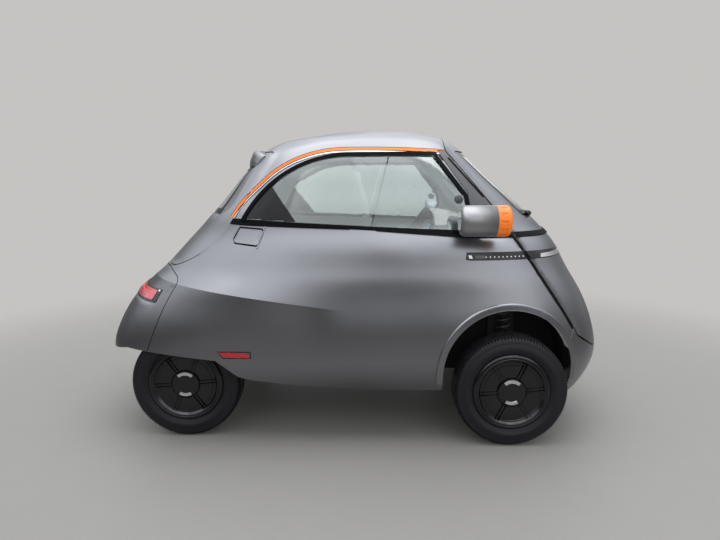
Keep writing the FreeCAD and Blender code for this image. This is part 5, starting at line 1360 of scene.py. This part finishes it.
def addBackrest():
    s = seatSettings
    form, low, high = padOf("seat_backrest")
    form.normal_update()
    lean = Vector((math.cos(math.radians(s["backLean"])), 0, math.sin(math.radians(s["backLean"]))))
    for vertex in form.verts:
        ahead = max(0.0, vertex.normal.dot(lean))
        up = max(0.0, vertex.normal.z)
        depth = 0.0
        for place in s["backChannels"]:
            depth += pressIn(vertex.co.y - place, s["channelWidth"]) * max(ahead, up * 0.6) ** 0.5
        depth += s["crossDepth"] * pressIn(vertex.co.z - (high.z - s["backCross"]), s["channelWidth"]) * ahead
        side = 1 - abs(vertex.normal.dot(lean))
        along = (vertex.co - Vector((low.x, 0, low.z))).dot(lean)
        piping = pressIn(along - s["backPiping"], s["pipingWidth"]) * max(0.0, side)
        vertex.co -= vertex.normal * (depth * s["channelDepth"] - piping * s["pipingRise"])
    piece = finishPiece("seat_backrest_pad", form, ["seatCloth"], "root", 180)
    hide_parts("seat_backrest")


addCushion()
addBackrest()
print("seats ready")


# Springs and dampers
springSettings = [
    {"node": "front_dampers", "name": "front_springs", "x": 0.719, "y": 0.470, "foot": 0.1748, "seat": 0.3965,
     "top": 0.6217, "tube": 0.020, "coil": 0.0295, "wire": 0.0045, "turns": 6.0},
    {"node": "rear_dampers", "name": "rear_springs", "x": -0.770, "y": 0.352, "foot": 0.318, "seat": 0.345,
     "top": 0.5657, "tube": 0.018, "coil": 0.0310, "wire": 0.0050, "turns": 5.5},
]
damperSettings = {
    "rod": 0.0070,
    "tubeOver": 0.075,  # how far the tube goes up inside the spring
    "seatHeight": 0.006,
    "steps": 40,
    "coilSteps": 26,  # for each turn
    "wireSides": 8,
}


def coilForm(radius, wire, turns, height):
    form = bmesh.new()
    made = bmesh.ops.create_circle(form, segments=damperSettings["wireSides"], radius=wire)["verts"]
    bmesh.ops.transform(
        form, matrix=Matrix.Translation((radius, 0, 0)) @ Matrix.Rotation(math.radians(90), 4, "X"), verts=made)
    steps = int(turns * damperSettings["coilSteps"])
    bmesh.ops.spin(
        form, geom=list(form.verts) + list(form.edges), cent=(0, 0, 0), axis=(0, 0, 1), dvec=(0, 0, height / steps),
        angle=math.radians(360 * turns), steps=steps, use_merge=False)
    closeHoles(form)
    return form


def addSprings():
    d = damperSettings
    rod, lift = d["rod"], d["seatHeight"]
    for s in springSettings:
        form = bmesh.new()
        tube, top, end = s["tube"], s["top"], s["seat"] + d["tubeOver"]
        reach = s["coil"] + s["wire"]
        for side in (-1, 1):
            place = Matrix.Translation((s["x"], side * s["y"], 0))
            damper = turnedForm([
                (0.0, s["foot"]), (tube - 0.003, s["foot"]), (tube, s["foot"] + 0.003), (tube, end),
                (tube - 0.002, end + 0.004), (rod, end + 0.004), (rod, top - 0.030), (0.0130, top - 0.028),
                (0.0150, top - 0.008), (0.0, top - 0.008)], d["steps"], "Z")
            mergeForm(form, damper, place)
            for level in (s["seat"], top - lift):
                seat = turnedForm([
                    (0.0, level), (reach - 0.002, level), (reach, level + 0.002), (reach, level + lift - 0.001),
                    (reach - 0.001, level + lift), (0.0, level + lift)], d["steps"], "Z")
                mergeForm(form, seat, place)
            coil = coilForm(s["coil"], s["wire"], s["turns"], top - s["seat"] - 2 * lift - 2 * s["wire"])
            mergeForm(form, coil, place @ Matrix.Translation((0, 0, s["seat"] + lift + s["wire"])), 1)
        piece = finishPiece(s["name"], form, ["chassisCoat", "springCoat"], "root", 35)
        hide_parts(s["node"])


addSprings()


# Motor and battery
driveSettings = {
    "motorLow": (-0.989, -0.240, 0.170),
    "motorHigh": (-0.689, 0.240, 0.400),
    "fin": (0.006, 0.014),  # thickness and how far it stands out
    "finCount": 11,
    "finEnds": 0.04,  # from the motor's ends to the first and last fin
    "finLevel": 0.285,
    "finHeight": 0.150,
    "finLength": 0.220,
    "bolt": (0.009, 0.012),
    "boltInset": (0.022, 0.02),
    "boltDrop": 0.003,
    "batteryInset": 0.008,
    "ribs": (9, 5),  # along the battery's front and rear, and along its sides
    "ribEnds": 0.05,
    "ribSize": (0.016, 0.008),
    "ribShort": 0.03,  # how much lower a rib is than the case
}


def addMotor():
    s = driveSettings
    low, high = Vector(s["motorLow"]), Vector(s["motorHigh"])
    thickness, rise = s["fin"]
    form = bmesh.new()
    form.from_mesh(nodes["motor"].data)
    bmesh.ops.remove_doubles(form, verts=form.verts, dist=panelSettings["merge"])
    for index in range(s["finCount"]):
        y = low.y + s["finEnds"] + (high.y - low.y - 2 * s["finEnds"]) * index / (s["finCount"] - 1)
        for x in (low.x, high.x):
            addBlock(form, (rise, thickness, s["finHeight"]), Matrix.Translation((x, y, s["finLevel"])), 0.002)
        under = Matrix.Translation(((low.x + high.x) / 2, y, low.z))
        addBlock(form, (s["finLength"], thickness, rise), under, 0.002)
    ahead, aside = s["boltInset"]
    for x in (low.x + ahead, high.x - ahead):
        for y in (low.y + aside, high.y - aside):
            addRod(form, *s["bolt"], Matrix.Translation((x, y, low.z - s["boltDrop"])), 6)
    piece = finishPiece("motor_detail", form, ["castMetal"], "root", 30)
    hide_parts("motor")


def addBattery():
    s = driveSettings
    low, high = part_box("battery")
    size, middle = high - low, (low + high) / 2
    inset = s["batteryInset"]
    wide, deep = s["ribSize"]
    height = size.z - s["ribShort"]
    form = bmesh.new()
    addBlock(form, (size.x - 2 * inset, size.y - 2 * inset, size.z), Matrix.Translation(middle), 0.008, 3)
    for index in range(s["ribs"][0]):
        y = low.y + s["ribEnds"] + (size.y - 2 * s["ribEnds"]) * index / (s["ribs"][0] - 1)
        for x in (low.x + deep / 2, high.x - deep / 2):
            addBlock(form, (deep, wide, height), Matrix.Translation((x, y, middle.z)), 0.002)
    for index in range(s["ribs"][1]):
        x = low.x + s["ribEnds"] + (size.x - 2 * s["ribEnds"]) * index / (s["ribs"][1] - 1)
        for y in (low.y + deep / 2, high.y - deep / 2):
            addBlock(form, (wide, deep, height), Matrix.Translation((x, y, middle.z)), 0.002)
    piece = finishPiece("battery_detail", form, ["caseGrey"], "root", 30)
    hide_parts("battery")


addMotor()
addBattery()
print("springs, motor and battery ready")


# Cabin
cabinSettings = {
    "wheelPlace": (0.330, 0.215, 0.935),
    "tilt": 28,
    "pad": [  # radius and offset along the column
        (0.0, -0.026), (0.030, -0.0255), (0.050, -0.0235), (0.0565, -0.0200), (0.058, -0.0160), (0.058, 0.0100),
        (0.050, 0.0150), (0.0, 0.0150)],
    "stalk": (0.130, 0.016, 0.010),
    "stalkPlace": (0.100, 0.062),
    "display": (0.026, 0.150, 0.086),
    "screen": (0.002, 0.130, 0.068),
    "screenPlace": (-0.0135, 0, 0),
    "tile": (0.001, 0.034, 0.040),
    "tilePlace": (-0.0149, 0.002),
    "tilePitch": 0.041,
}


def addCabin():
    s = cabinSettings
    tilt = math.radians(s["tilt"])
    column = Vector((math.cos(tilt), 0, -math.sin(tilt)))
    place = Matrix.Translation(s["wheelPlace"]) @ column.to_track_quat("Z", "Y").to_matrix().to_4x4()
    form = turnedForm(s["pad"], 56, "Z")
    bmesh.ops.transform(form, matrix=place, verts=form.verts)
    finishPiece("steering_pad", form, ["cabinPlastic"], "steering_wheel", 30)
    form = bmesh.new()
    across = place @ Matrix.Rotation(math.radians(90), 4, "Z")
    for side in (-1, 1):
        there = Matrix.Translation((side * s["stalkPlace"][0], 0, s["stalkPlace"][1]))
        addBlock(form, s["stalk"], across @ there, 0.004, 3)
    finishPiece("column_stalks", form, ["cabinPlastic"], "root", 30)
    middle = middleOf("instrument_display")
    lie = Matrix((
        (column.x, 0, math.sin(tilt), middle.x), (0, 1, 0, middle.y), (column.z, 0, math.cos(tilt), middle.z),
        (0, 0, 0, 1)))
    form = bmesh.new()
    addBlock(form, s["display"], lie, 0.009, 4)
    screen = bmesh.new()
    addBlock(screen, s["screen"], lie @ Matrix.Translation(s["screenPlace"]), 0.0008)
    mergeForm(form, screen, Matrix.Identity(4), 1)
    x, z = s["tilePlace"]
    for index in (-1, 0, 1):
        tile = bmesh.new()
        addBlock(tile, s["tile"], lie @ Matrix.Translation((x, index * s["tilePitch"], z)), 0.0004)
        mergeForm(form, tile, Matrix.Identity(4), 2)
    piece = finishPiece(
        "display_detail", form, ["cabinPlastic", "glossBlack", "screenGlow"], "root", 30)
    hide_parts("instrument_display")


addCabin()
print("cabin ready")
